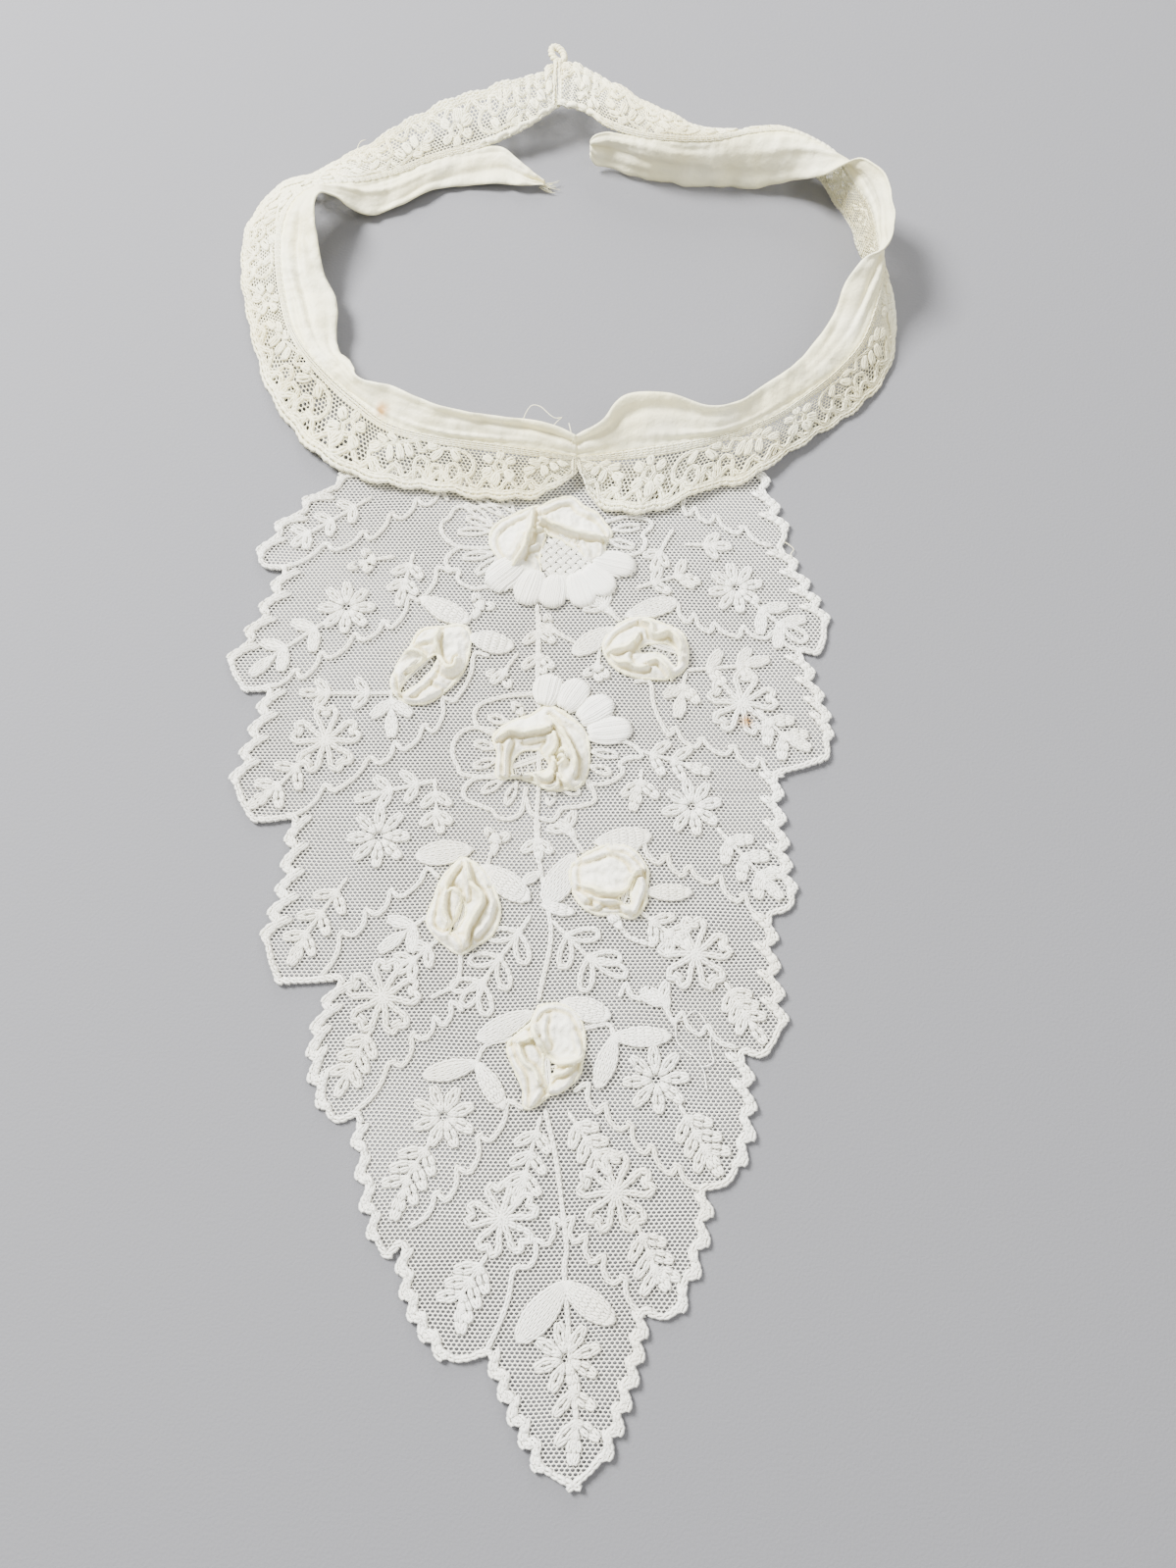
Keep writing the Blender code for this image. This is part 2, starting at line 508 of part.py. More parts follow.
def kept_plain(points):
    """True where the net is left plain: under a rose or under the collar's lace."""
    covered = points[:, 1] > np.interp(points[:, 0], *collar_shadow().T) - HAIR
    for rose in ROSES:
        offset = points - np.array((rose.x, rose.y))
        angles = np.arctan2(offset[:, 1], offset[:, 0])
        rim = np.array([oval_radius(rose.width, rose.length, rose.turn, a) for a in angles])
        covered |= np.linalg.norm(offset, axis=1) < rim + ROSE_MARGIN + HAIR
    return covered


def inset(outline, depth):
    """The outline moved inwards, without the points that a narrow notch would push out again."""
    run = np.roll(outline, -1, axis=0) - np.roll(outline, 1, axis=0)
    run /= np.linalg.norm(run, axis=1)[:, None]
    moved = outline + depth * np.stack((-run[:, 1], run[:, 0]), axis=1)
    return moved[distance_to_line(moved, outline, closed=True) > 0.8 * depth]


def inside(points, outline):
    """True where a point lies inside the closed outline."""
    hits = np.zeros(len(points), int)
    for (ax, ay), (bx, by) in zip(outline, np.roll(outline, -1, axis=0)):
        crosses = (ay > points[:, 1]) != (by > points[:, 1])
        at_x = ax + (points[:, 1] - ay) * (bx - ax) / ((by - ay) or 1e-12)
        hits += crosses & (points[:, 0] < at_x)
    return hits % 2 == 1


def triangulate(outline, guides):
    """Triangles that fill the outline, with edges along the guides that lie well inside it."""
    points, edges = [tuple(p) for p in outline], []
    count = len(points)
    edges += [(i, (i + 1) % count) for i in range(count)]
    for guide, margin in guides:
        kept = inside(guide, outline) & (distance_to_line(guide, outline, closed=True) > margin)
        first = len(points)
        points += [tuple(p) for p in guide]
        edges += [(first + i, first + i + 1) for i in range(len(guide) - 1) if kept[i] and kept[i + 1]]
        for i in range(len(guide)):
            if not kept[i]:
                points[first + i] = points[0]
    found = delaunay_2d_cdt([Vector(p) for p in points], edges, [], 1, 1e-4)
    return np.array([tuple(v) for v in found[0]]), [tuple(f) for f in found[2]]


def boundary_loop(faces):
    """The rim of a patch of triangles, as a list of point numbers in order."""
    following = {}
    for face in faces:
        for a, b in zip(face, face[1:] + face[:1]):
            following[(a, b)] = True
    rim = {a: b for a, b in following if (b, a) not in following}
    loop = [next(iter(rim))]
    while rim[loop[-1]] != loop[0]:
        loop.append(rim[loop[-1]])
    return loop


def bib_guides(outline, work):
    """Runs that the bib's top follows: the edge cord, then each motif."""
    guides = [(inset(outline, CORD_WIDTH * share), LEAST_STEP) for share in (CORD_CREST, 1.0)]
    for _, runs in work:
        guides += [(run, CORD_WIDTH + LEAST_STEP / 2) for run in runs]
    guides += [(rose_surround(rose), LEAST_STEP) for rose in ROSES]
    guides.append((collar_shadow(), LEAST_STEP))
    return guides


def bib_heights(points, outline, work):
    """Top of the bib at each point: the net, and the highest of what is worked on it."""
    from_edge = distance_to_line(points, outline, closed=True)
    off = (from_edge / CORD_WIDTH - CORD_CREST) / (1 - CORD_CREST)
    crest = np.clip(1 - off**2, 0, 1)
    lift = CORD_RISE * np.sqrt(crest) * (from_edge < CORD_WIDTH)
    for relief, _ in work:
        lift = np.maximum(lift, relief(points))
    return NET_TOP + np.where(kept_plain(points), 0.0, lift)


def make_bib(material):
    outline = bib_outline()
    work = stitched_work()
    flat, top = triangulate(outline, bib_guides(outline, work))
    heights = bib_heights(flat, outline, work)
    points = [(x, y, z) for (x, y), z in zip(flat, heights)]
    rim = boundary_loop(top)
    first = len(points)
    points += [(flat[i][0], flat[i][1], 0.0) for i in rim]
    under_flat, under = triangulate(flat[rim], [])
    place = {tuple(np.round(p, 4)): first + i for i, p in enumerate(flat[rim])}
    number = [place[tuple(np.round(p, 4))] for p in under_flat]
    faces = [tuple(f) for f in top]
    faces += [tuple(number[i] for i in reversed(face)) for face in under]
    for i, a in enumerate(rim):
        b, after = rim[(i + 1) % len(rim)], (i + 1) % len(rim)
        faces.append((b, a, first + i, first + after))
    return make_object("bib", points, faces, material)


# The neck strip


def smooth(values, count):
    """Even steps along a smooth curve through the rows."""
    rows = np.vstack((2 * values[0] - values[1], values, 2 * values[-1] - values[-2]))
    fine = []
    for i in range(1, len(rows) - 2):
        p0, p1, p2, p3 = rows[i - 1 : i + 3]
        for t in np.arange(0, 1, 0.05):
            fine.append(
                0.5 * (2 * p1 + (p2 - p0) * t + (2 * p0 - 5 * p1 + 4 * p2 - p3) * t**2
                       + (3 * p1 - p0 - 3 * p2 + p3) * t**3)
            )
    fine = np.array(fine + [values[-1]])
    steps = np.linalg.norm(np.diff(fine[:, :3], axis=0), axis=1)
    length = np.concatenate(([0], np.cumsum(steps)))
    wanted = np.linspace(0, length[-1], count)
    return np.stack([np.interp(wanted, length, column) for column in fine.T], axis=1), wanted


def strip_rows(sections, part, last, ends=()):
    """One piece of the strip, a row each: seam point, free edge, and the seam's direction across."""
    rows = []
    for row in sections[:last]:
        lace, seam, silk = (np.array(row[k : k + 3]) for k in (0, 3, 6))
        across = (silk - lace) / np.linalg.norm(silk - lace)
        free = lace if part == "lace" else silk
        rows.append(np.concatenate((seam, free, -across if part == "lace" else across)))
    for row in ends:
        seam, free = np.array(row[:3]), np.array(row[3:])
        rows.append(np.concatenate((seam, free, (free - seam) / np.linalg.norm(free - seam))))
    return np.array(rows)


def strip_grid(rows, stations, cells, edge_shape):
    """The cloth's middle surface: points across each station, and its directions at the seam."""
    along, lengths = smooth(rows, stations)
    grid = np.zeros((stations, cells + 1, 3))
    for i, row in enumerate(along):
        seam, free, across = row[0:3], row[3:6], row[6:9]
        width = np.linalg.norm(free - seam)
        control = seam + SEAM_PULL * width * across / np.linalg.norm(across)
        shares = np.linspace(SEAM_GAP / (4 * SEAM_PULL * width), 1, cells + 1)
        for j, t in enumerate(shares):
            point = (1 - t) ** 2 * seam + 2 * t * (1 - t) * control + t * t * free
            grid[i, j] = point + edge_shape(lengths[i], t, (free - seam) / width)
    grid[:, :, 2] = np.maximum(grid[:, :, 2], LOWEST_MIDDLE)
    return grid, along[:, 6:9]


def scallops(length, share, outward):
    """The lace's free edge: rounded scallops, and a little fullness."""
    wave = abs(math.sin(math.pi * length / SCALLOP_PITCH))
    fullness = FULLNESS * share * (1 + math.sin(2 * math.pi * length / FULLNESS_PITCH))
    return outward * SCALLOP_RISE * wave * share**4 + np.array((0.0, 0.0, fullness))


def creases(length, share, outward):
    """Soft creases that grow from the silk's seam to its free edge."""
    lift = sum(
        crease.rise * (1 + math.sin(2 * math.pi * length / crease.pitch + crease.phase)) for crease in CREASES
    )
    return np.array((0.0, 0.0, lift)) * share


def surface_normals(grid, seam_across):
    along = np.gradient(grid, axis=0)
    across = np.gradient(grid, axis=1)
    across[:, 0] = seam_across
    normals = np.cross(along, across)
    return normals / np.linalg.norm(normals, axis=2)[:, :, None]


def thicken(grid, seam_across, thickness):
    """A closed wall of even thickness about a grid of points."""
    rows, columns = grid.shape[:2]
    normals = surface_normals(grid, seam_across) * thickness / 2
    points = np.concatenate(((grid + normals).reshape(-1, 3), (grid - normals).reshape(-1, 3)))
    back = rows * columns

    def number(i, j, side):
        return i * columns + j + side * back

    faces = []
    for i in range(rows - 1):
        for j in range(columns - 1):
            corners = [(i, j), (i + 1, j), (i + 1, j + 1), (i, j + 1)]
            faces.append([number(a, b, 0) for a, b in corners])
            faces.append([number(a, b, 1) for a, b in reversed(corners)])
    rim = [(i, 0) for i in range(rows)] + [(rows - 1, j) for j in range(1, columns)]
    rim += [(i, columns - 1) for i in range(rows - 2, -1, -1)] + [(0, j) for j in range(columns - 2, 0, -1)]
    for (a, b), (c, d) in zip(rim, rim[1:] + rim[:1]):
        faces.append([number(c, d, 0), number(a, b, 0), number(a, b, 1), number(c, d, 1)])
    return points, faces


def make_strip(name, rows, stations, cells, edge_shape, material):
    grid, seam_across = strip_grid(rows, stations, cells, edge_shape)
    points, faces = thicken(grid, seam_across, WALL)
    obj = make_object(name, points, faces, material)
    face_outwards(obj)
    return obj


def face_outwards(obj):
    mesh = bmesh.new()
    mesh.from_mesh(obj.data)
    bmesh.ops.recalc_face_normals(mesh, faces=mesh.faces)
    mesh.to_mesh(obj.data)
    mesh.free()


# The roses


def rose_profile(rose, angle, share):
    """Height of the gathered cloth above the net, from the eye (0) to the outer rim (1)."""
    crown = math.sin(math.pi * (CROWN_START + (1 - 2 * CROWN_START) * share)) ** 0.7
    fold = math.cos(rose.folds * angle + FOLD_TWIST * share)
    return ROSE_EDGE + rose.rise * crown * (1 - FOLD_DEPTH + FOLD_DEPTH * fold)


def rim_radius(rose, angle):
    """Distance from the eye's middle to the outer oval in this direction."""
    direction = np.array((math.cos(angle), math.sin(angle)))
    low, high = 0.0, rose.width + rose.length
    for _ in range(30):
        middle = (low + high) / 2
        offset = np.array((rose.eye_x - rose.x, rose.eye_y - rose.y)) + middle * direction
        rim = oval_radius(rose.width, rose.length, rose.turn, math.atan2(offset[1], offset[0]))
        low, high = (middle, high) if np.linalg.norm(offset) < rim else (low, middle)
    return low


def make_rose(name, rose, material):
    """A ring or arch of gathered cloth round its eye, flat under and folded on top."""
    whole = rose.last - rose.first == 360
    steps = ROSE_STATIONS if whole else ROSE_STATIONS - 1
    span = math.radians(rose.last - rose.first)
    points = []
    for i in range(ROSE_STATIONS):
        angle = math.radians(rose.first) + span * i / steps
        across = np.array((math.cos(angle), math.sin(angle), 0))
        eye = oval_radius(rose.eye_width, rose.eye_length, rose.eye_turn, angle)
        rim = rim_radius(rose, angle) * (1 + RIM_LUMPS * math.cos(rose.folds * angle))
        ring = [(eye, 0.0)]
        ring += [(eye + (rim - eye) * s, rose_profile(rose, angle, s)) for s in ROSE_SHARES]
        ring.append((rim, 0.0))
        for radius, height in ring:
            middle = np.array((rose.eye_x, rose.eye_y, NET_TOP + SEAM_GAP + height))
            points.append(middle + radius * across)
    size = len(ROSE_SHARES) + 2
    faces = []
    for i in range(steps):
        following = (i + 1) % ROSE_STATIONS
        for j in range(size):
            nearby = (j + 1) % size
            faces.append((i * size + j, i * size + nearby, following * size + nearby, following * size + j))
    if not whole:
        faces.append(tuple(range(size)))
        faces.append(tuple(reversed(range(steps * size, (steps + 1) * size))))
    obj = make_object(name, points, faces, material)
    face_outwards(obj)
    return obj


def make_loop(material):
    """The tape loop behind the neck: a round cord closed on itself, longer than it is wide."""
    points = []
    half_size = np.array((LOOP_HALF_WIDTH, LOOP_HALF_LENGTH, 0))
    for i in range(LOOP_STATIONS):
        turn = 2 * math.pi * i / LOOP_STATIONS
        outward = np.array((math.cos(turn), math.sin(turn), 0))
        middle = np.array(LOOP_CENTRE) + half_size * outward
        for j in range(LOOP_SIDES):
            side = 2 * math.pi * j / LOOP_SIDES
            offset = outward * math.cos(side) + np.array((0, 0, math.sin(side)))
            points.append(middle + LOOP_THICKNESS / 2 * offset)
    faces = []
    for i in range(LOOP_STATIONS):
        for j in range(LOOP_SIDES):
            a, b = i * LOOP_SIDES, (i + 1) % LOOP_STATIONS * LOOP_SIDES
            k = (j + 1) % LOOP_SIDES
            faces.append((a + j, b + j, b + k, a + k))
    obj = make_object("back_loop", points, faces, material)
    face_outwards(obj)
    return obj


clear_scene()
worked_net = cloth("worked_net", LACE_WHITE, 0.85)
muslin = cloth("gathered_muslin", MUSLIN_IVORY, 0.6)
silk = cloth("soft_silk", SILK_IVORY, 0.5)
collar_lace = cloth("collar_lace", LACE_CREAM, 0.85)

make_bib(worked_net)
for index, rose in enumerate(ROSES, start=1):
    make_rose(f"rose_{index}", rose, muslin)
for side, sections, silk_count, tail in (
    ("left", LEFT_STRIP, SILK_ROWS_LEFT, LEFT_TAIL),
    ("right", RIGHT_STRIP, SILK_ROWS_RIGHT, RIGHT_TAIL),
):
    lace_rows = strip_rows(sections, "lace", len(sections))
    silk_rows = strip_rows(sections, "silk", silk_count, tail)
    make_strip(f"collar_lace_{side}", lace_rows, LACE_STATIONS, LACE_CELLS, scallops, collar_lace)
    make_strip(f"neckband_{side}", silk_rows, SILK_STATIONS, SILK_CELLS, creases, silk)
make_loop(collar_lace)
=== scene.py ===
"""Looks of the lace dickey: a bib of worked net with gathered muslin roses, and its open neck strip of
lace and silk, laid out flat and seen from above.

The tables are in millimetres, and the meshes are scaled to metres as they are made.
"""

import math
import random
from collections import namedtuple
from functools import partial

import bmesh
import bpy
import numpy as np
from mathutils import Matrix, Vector


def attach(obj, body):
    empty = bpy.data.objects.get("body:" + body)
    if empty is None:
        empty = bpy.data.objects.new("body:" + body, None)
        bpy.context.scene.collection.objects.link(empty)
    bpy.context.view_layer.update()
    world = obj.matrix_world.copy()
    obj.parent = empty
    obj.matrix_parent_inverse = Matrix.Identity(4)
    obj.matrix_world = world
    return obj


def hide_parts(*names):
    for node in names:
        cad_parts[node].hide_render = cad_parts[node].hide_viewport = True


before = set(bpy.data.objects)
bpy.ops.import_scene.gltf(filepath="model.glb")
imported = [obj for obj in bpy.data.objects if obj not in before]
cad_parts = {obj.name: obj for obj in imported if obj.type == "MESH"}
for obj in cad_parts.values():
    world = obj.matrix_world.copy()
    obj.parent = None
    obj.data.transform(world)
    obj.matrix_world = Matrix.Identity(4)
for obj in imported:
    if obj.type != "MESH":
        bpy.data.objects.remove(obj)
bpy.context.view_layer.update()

# The surface and the light. The dickey lies on a plain pale matt surface, and is seen from above, a
# little from the bib's point, in soft light from large lamps and a bright room.
MILLIMETRE = 0.001
CAMERA_PLACE = (3.6, -157.7, 262.4)
CAMERA_TILT = math.radians(16)
CAMERA_LENS = 27.04
CAMERA_NEAR = 0.01
SURFACE_SIZE = 6.0
SURFACE_GREY = (0.18, 0.18, 0.19)
Softbox = namedtuple("Softbox", "name place size watts")
SOFTBOXES = (
    Softbox("key", (-620, 420, 760), 0.35, 50.0),
    Softbox("fill", (700, -250, 850), 0.9, 8.0),
    Softbox("rim", (100, 900, 420), 0.4, 9.0),
)
ROOM_LIGHT = 0.72
ROOM_COLOUR = (1.0, 0.99, 0.965, 1.0)


def new_object(name, data):
    """An object of this data, in the scene."""
    obj = bpy.data.objects.new(name, data)
    bpy.context.scene.collection.objects.link(obj)
    return obj


camera_data = bpy.data.cameras.new("camera")
camera_data.lens = CAMERA_LENS
camera_data.clip_start = CAMERA_NEAR
camera = new_object("camera", camera_data)
camera.location = Vector(CAMERA_PLACE) * MILLIMETRE
camera.rotation_euler = (CAMERA_TILT, 0.0, 0.0)
bpy.context.scene.camera = camera

for box in SOFTBOXES:
    lamp = bpy.data.lights.new(box.name, "AREA")
    lamp.size = box.size
    lamp.energy = box.watts
    light = new_object(box.name, lamp)
    light.location = Vector(box.place) * MILLIMETRE
    light.rotation_euler = (-light.location).to_track_quat("-Z", "Y").to_euler()

room = bpy.data.worlds.new("room")
room.use_nodes = True
background = room.node_tree.nodes["Background"].inputs
background["Strength"].default_value = ROOM_LIGHT
background["Color"].default_value = ROOM_COLOUR
bpy.context.scene.world = room


def add_node(tree, kind, joined=(), **settings):
    """A node with these settings. Each named input is joined to an output, or set to a value."""
    node = tree.nodes.new(kind)
    for setting, value in settings.items():
        setattr(node, setting, value)
    for name, value in dict(joined).items():
        if isinstance(value, bpy.types.NodeSocket):
            tree.links.new(value, node.inputs[name])
        else:
            node.inputs[name].default_value = value
    return node.outputs


Finish = namedtuple("Finish", "material tree shader place")


def new_finish(name, roughness, sheen=0.0):
    """A procedural material, with its node tree, its shader's inputs and its object coordinates."""
    material = bpy.data.materials.new(name)
    material.use_nodes = True
    shader = material.node_tree.nodes["Principled BSDF"].inputs
    shader["Roughness"].default_value = roughness
    shader["Sheen Weight"].default_value = sheen
    place = add_node(material.node_tree, "ShaderNodeTexCoord")["Object"]
    return Finish(material, material.node_tree, shader, place)


def noise(finish, per_metre, detail=2.0):
    """Noise over the piece, with so many lumps to the metre."""
    joined = {"Vector": finish.place, "Scale": per_metre, "Detail": detail}
    return add_node(finish.tree, "ShaderNodeTexNoise", joined)["Fac"]


def roughen(finish, height, depth, strength):
    """Small relief on the finish, as deep as this in metres."""
    joined = {"Height": height, "Distance": depth, "Strength": strength}
    bump = add_node(finish.tree, "ShaderNodeBump", joined)
    finish.tree.links.new(bump["Normal"], finish.shader["Normal"])


surface_finish = new_finish("surface_finish", roughness=0.9)
surface_finish.shader["Base Color"].default_value = (*SURFACE_GREY, 1.0)
roughen(surface_finish, noise(surface_finish, per_metre=1500), depth=0.0002, strength=0.4)
half = SURFACE_SIZE / 2
surface_mesh = bpy.data.meshes.new("surface")
surface_mesh.from_pydata(
    [(-half, -half, 0), (half, -half, 0), (half, half, 0), (-half, half, 0)], [], [(0, 1, 2, 3)]
)
surface_mesh.materials.append(surface_finish.material)
surface = new_object("surface", surface_mesh)


# The bib's ground is one panel of white cotton bobbin net, cut to stepped lobes with toothed edges.
# Its six-sided holes are wider than they are high, and the cloth lies in very low waves.
# It is made here in two halves that meet along a row of holes, and left out where a rose hides it.
Lobe = namedtuple("Lobe", "shoulder tip heel notch teeth")
TOP_LEFT = (-50.0, 3.0)
TOP_RIGHT = (46.0, 3.0)
LEFT_LOBES = (
    Lobe((-67.5, -11.0), (-77.3, -25.0), (-75.8, -28.2), (-71.0, -28.5), 4),
    Lobe((-75.3, -39.5), (-81.8, -52.8), (-78.0, -59.8), (-71.9, -59.5), 4),
    Lobe((-75.3, -70.5), (-78.7, -82.5), (-73.4, -91.8), (-64.3, -90.8), 4),
    Lobe((-65.2, -106.0), (-68.8, -118.5), (-65.1, -128.4), (-51.5, -127.6), 5),
    Lobe((-56.4, -142.0), (-52.6, -155.0), (-50.0, -158.3), (-45.8, -156.8), 5),
    Lobe((-44.4, -170.0), (-41.0, -181.5), (-38.2, -185.2), (-35.2, -182.8), 4),
    Lobe((-32.6, -195.0), (-25.5, -203.6), (-23.2, -204.6), (-17.0, -203.0), 5),
    Lobe((-12.0, -213.5), (-6.0, -224.3), (0.8, -227.6), (0.8, -227.6), 5),
)
RIGHT_LOBES = (
    Lobe((49.6, -9.5), (52.5, -17.5), (52.2, -20.0), (51.0, -22.2), 3),
    Lobe((56.8, -33.0), (61.2, -42.5), (59.3, -50.8), (54.9, -50.2), 4),
    Lobe((58.6, -62.5), (59.7, -72.0), (59.2, -77.2), (47.4, -80.6), 4),
    Lobe((48.2, -95.0), (50.0, -108.0), (49.3, -111.6), (44.6, -113.1), 5),
    Lobe((45.0, -126.0), (46.6, -137.5), (42.2, -144.4), (37.4, -143.2), 4),
    Lobe((38.6, -156.0), (35.4, -166.5), (33.2, -170.5), (28.0, -171.8), 4),
    Lobe((27.3, -183.0), (22.0, -195.6), (19.6, -197.0), (15.4, -195.8), 4),
    Lobe((12.4, -209.0), (6.6, -222.3), (0.8, -227.6), (0.8, -227.6), 6),
)
TOOTH_RISE = 1.4
TOOTH_SHAPE = ((0.0, -0.7), (0.45, 0.05), (0.8, 0.3))
HEEL_BULGE = 0.6
NOTCH_SAG = 0.4
NET_PITCH = 1.08
NET_ROW = 0.74
NET_HOLE = 0.76
HOLE_FLATTEN = 0.94
NET_THREAD = 0.1
THREAD_FOOT = 1.8
NET_HEIGHT = 0.55
NET_INSET = 0.5
SLACK, FINE_SLACK = 0.22, 0.1
LONG_WAVE, SHORT_WAVE = 0.16, 0.12
SHORT_PITCH, SHORT_SLANT = 12.5, 33
# A wave's length, over two pi, and how far and how slowly it wanders
Wave = namedtuple("Wave", "pitch wander wander_pitch")
CLOTH_WAVE = Wave(17, 1.3, 41)
SLACK_ACROSS, SLACK_ALONG = Wave(7.3, 0.8, 11), Wave(8.1, 0.9, 13)
HALVING_LINE = -84.0
WELD = 0.02
NET_SHADES = ((0.84, 0.81, 0.71), (0.92, 0.90, 0.81))
STAIN = (0.54, 0.31, 0.10)
STAIN_STRENGTH = 1.4
STAINED_PLACE = (40.8, -67.5, 0.8)
STAINED_REACH = 2.2
# Where a rose sits on the net: middle, half its width and length, and how far it is turned
Seat = namedtuple("Seat", "middle half_width half_length turn")
ROSE_SEATS = (
    Seat((-14.0, -20.0), 3.4, 5.6, 0), Seat((3.5, -14.5), 6.6, 2.6, -25),
    Seat((-40.0, -53.5), 1.2, 4.0, -42), Seat((-28.8, -51.0), 2.8, 6.5, -42),
    Seat((11.8, -48.0), 3.2, 4.8, 0), Seat((-0.5, -73.5), 3.2, 6.5, 0), Seat((-10.5, -69.8), 5.4, 2.2, 12),
    Seat((-28.8, -110.5), 1.8, 6.2, 0), Seat((-20.6, -111.0), 2.8, 6.6, 0),
    Seat((6.2, -103.8), 4.6, 4.6, 0), Seat((-1.6, -139.6), 3.2, 4.8, 0), Seat((-9.2, -147.0), 2.4, 5.4, 0),
)
COLLAR_COVERS = 0.6


def wavy(along, beside, wave):
    """A wave along a piece, that wanders with the place beside it."""
    return np.sin(along / wave.pitch + wave.wander * np.sin(beside / wave.wander_pitch))


def lie(x, y):
    """How high the bib's cloth lies above the surface."""
    long_wave = LONG_WAVE * wavy(x, y, CLOTH_WAVE)
    return NET_HEIGHT + long_wave + SHORT_WAVE * np.sin(y / SHORT_PITCH + x / SHORT_SLANT)


def left_of(run):
    """The way to the left of a run, one long."""
    return np.array((-run[1], run[0])) / np.linalg.norm(run)


def toothed_edge(start, lobe, side):
    """Points down one lobe's long edge, and for each tooth its tip, its run and the way inwards."""
    start, shoulder, tip = (np.array(p) for p in (start, lobe.shoulder, lobe.tip))
    control = 2 * shoulder - (start + tip) / 2
    points, tips = [], []
    for tooth in range(lobe.teeth):
        for share, rise in TOOTH_SHAPE:
            t = (tooth + share) / lobe.teeth
            on_edge = (1 - t) ** 2 * start + 2 * t * (1 - t) * control + t * t * tip
            along = (1 - t) * (control - start) + t * (tip - control)
            along /= np.linalg.norm(along)
            outward = side * left_of(along)
            points.append(on_edge + TOOTH_RISE * rise * outward)
        tips.append((points[-1], along, -outward))
    return [start] + points[1:], tips


def side_outline(corner, lobes, side):
    """One side of the bib, from its top corner down to its point, and all its teeth."""
    points, tips, start = [], [], corner
    for lobe in lobes:
        edge, teeth = toothed_edge(start, lobe, side)
        tip, heel, notch = (np.array(p) for p in (lobe.tip, lobe.heel, lobe.notch))
        points += edge + [tip, (tip + heel) / 2 + side * np.array((HEEL_BULGE, 0.0)), heel]
        tips += teeth
        if lobe is not lobes[-1]:
            points += [(heel + notch) / 2 + np.array((0.0, -NOTCH_SAG)), notch]
        start = notch
    return points, tips


def inside(points, outline):
    """True where a point lies inside the closed outline."""
    hits = np.zeros(len(points), int)
    for (ax, ay), (bx, by) in zip(outline, np.roll(outline, -1, axis=0)):
        crosses = (ay > points[:, 1]) != (by > points[:, 1])
        at_x = ax + (points[:, 1] - ay) * (bx - ax) / ((by - ay) or 1e-12)
        hits += crosses & (points[:, 0] < at_x)
    return hits % 2 == 1


def offsets(points, start, end):
    """The way to each point from the nearest place on a straight run."""
    run = end - start
    share = np.clip(((points - start) @ run) / max(run @ run, 1e-9), 0, 1)
    return points - start - share[:, None] * run


def distance(points, line):
    """Distance from each point to a line of points."""
    runs = zip(line, line[1:])
    return np.min([np.linalg.norm(offsets(points, a, b), axis=1) for a, b in runs], axis=0)


def seated(points, seats):
    """True where a point lies under one of the seats."""
    found = np.zeros(len(points), bool)
    for seat in seats:
        turn = math.radians(seat.turn)
        x, y = (points - seat.middle).T
        across = (x * math.cos(turn) + y * math.sin(turn)) / seat.half_width
        along = (y * math.cos(turn) - x * math.sin(turn)) / seat.half_length
        found |= across**2 + along**2 < 1
    return found


def make_object(name, points, faces, finish=None):
    """An object from points in millimetres."""
    mesh = bpy.data.meshes.new(name)
    mesh.from_pydata((np.asarray(points, float) * MILLIMETRE).tolist(), [], faces)
    if finish:
        mesh.materials.append(finish.material)
    return new_object(name, mesh)


def node_tree(name, **sockets):
    """A Geometry Nodes tree with named inputs, those inputs, and a way to add a node to it."""
    tree = bpy.data.node_groups.new(name, "GeometryNodeTree")
    tree.interface.new_socket("Geometry", in_out="INPUT", socket_type="NodeSocketGeometry")
    for label, kind in sockets.items():
        tree.interface.new_socket(label, in_out="INPUT", socket_type="NodeSocket" + kind)
    tree.interface.new_socket("Geometry", in_out="OUTPUT", socket_type="NodeSocketGeometry")
    return tree, tree.nodes.new("NodeGroupInput").outputs, partial(add_node, tree)


def finished_tree(tree, shape, finish):
    """Gives what the tree makes its material, and ends the tree."""
    done = add_node(tree, "GeometryNodeSetMaterial", {"Geometry": shape, "Material": finish})
    tree.links.new(done["Geometry"], tree.nodes.new("NodeGroupOutput").inputs["Geometry"])
    return tree


def grown(name, source, tree, helpers, **values):
    """Runs the tree on an object, and puts what grew in its place as a plain mesh."""
    modifier = source.modifiers.new(tree.name, "NODES")
    modifier.node_group = tree
    for label, value in values.items():
        modifier[tree.interface.items_tree[label].identifier] = value
    shown = source.evaluated_get(bpy.context.evaluated_depsgraph_get())
    mesh = bpy.data.meshes.new_from_object(shown)
    source.modifiers.remove(modifier)
    for spent in (source, *helpers):
        bpy.data.objects.remove(spent)
    mesh.name = name
    return new_object(name, mesh)


def net_ground_tree():
    """Sets one hole of the net at each point, and welds the holes along their threads."""
    tree, given, add = node_tree("net_ground", Hole="Object", Weld="Float", Finish="Material")
    hole = add("GeometryNodeObjectInfo", {"Object": given["Hole"]})
    placed = add("GeometryNodeInstanceOnPoints", {"Points": given["Geometry"], "Instance": hole["Geometry"]})
    real = add("GeometryNodeRealizeInstances", {"Geometry": placed["Instances"]})
    welded = add("GeometryNodeMergeByDistance", {"Geometry": real["Geometry"], "Distance": given["Weld"]})
    return finished_tree(tree, welded["Geometry"], given["Finish"])


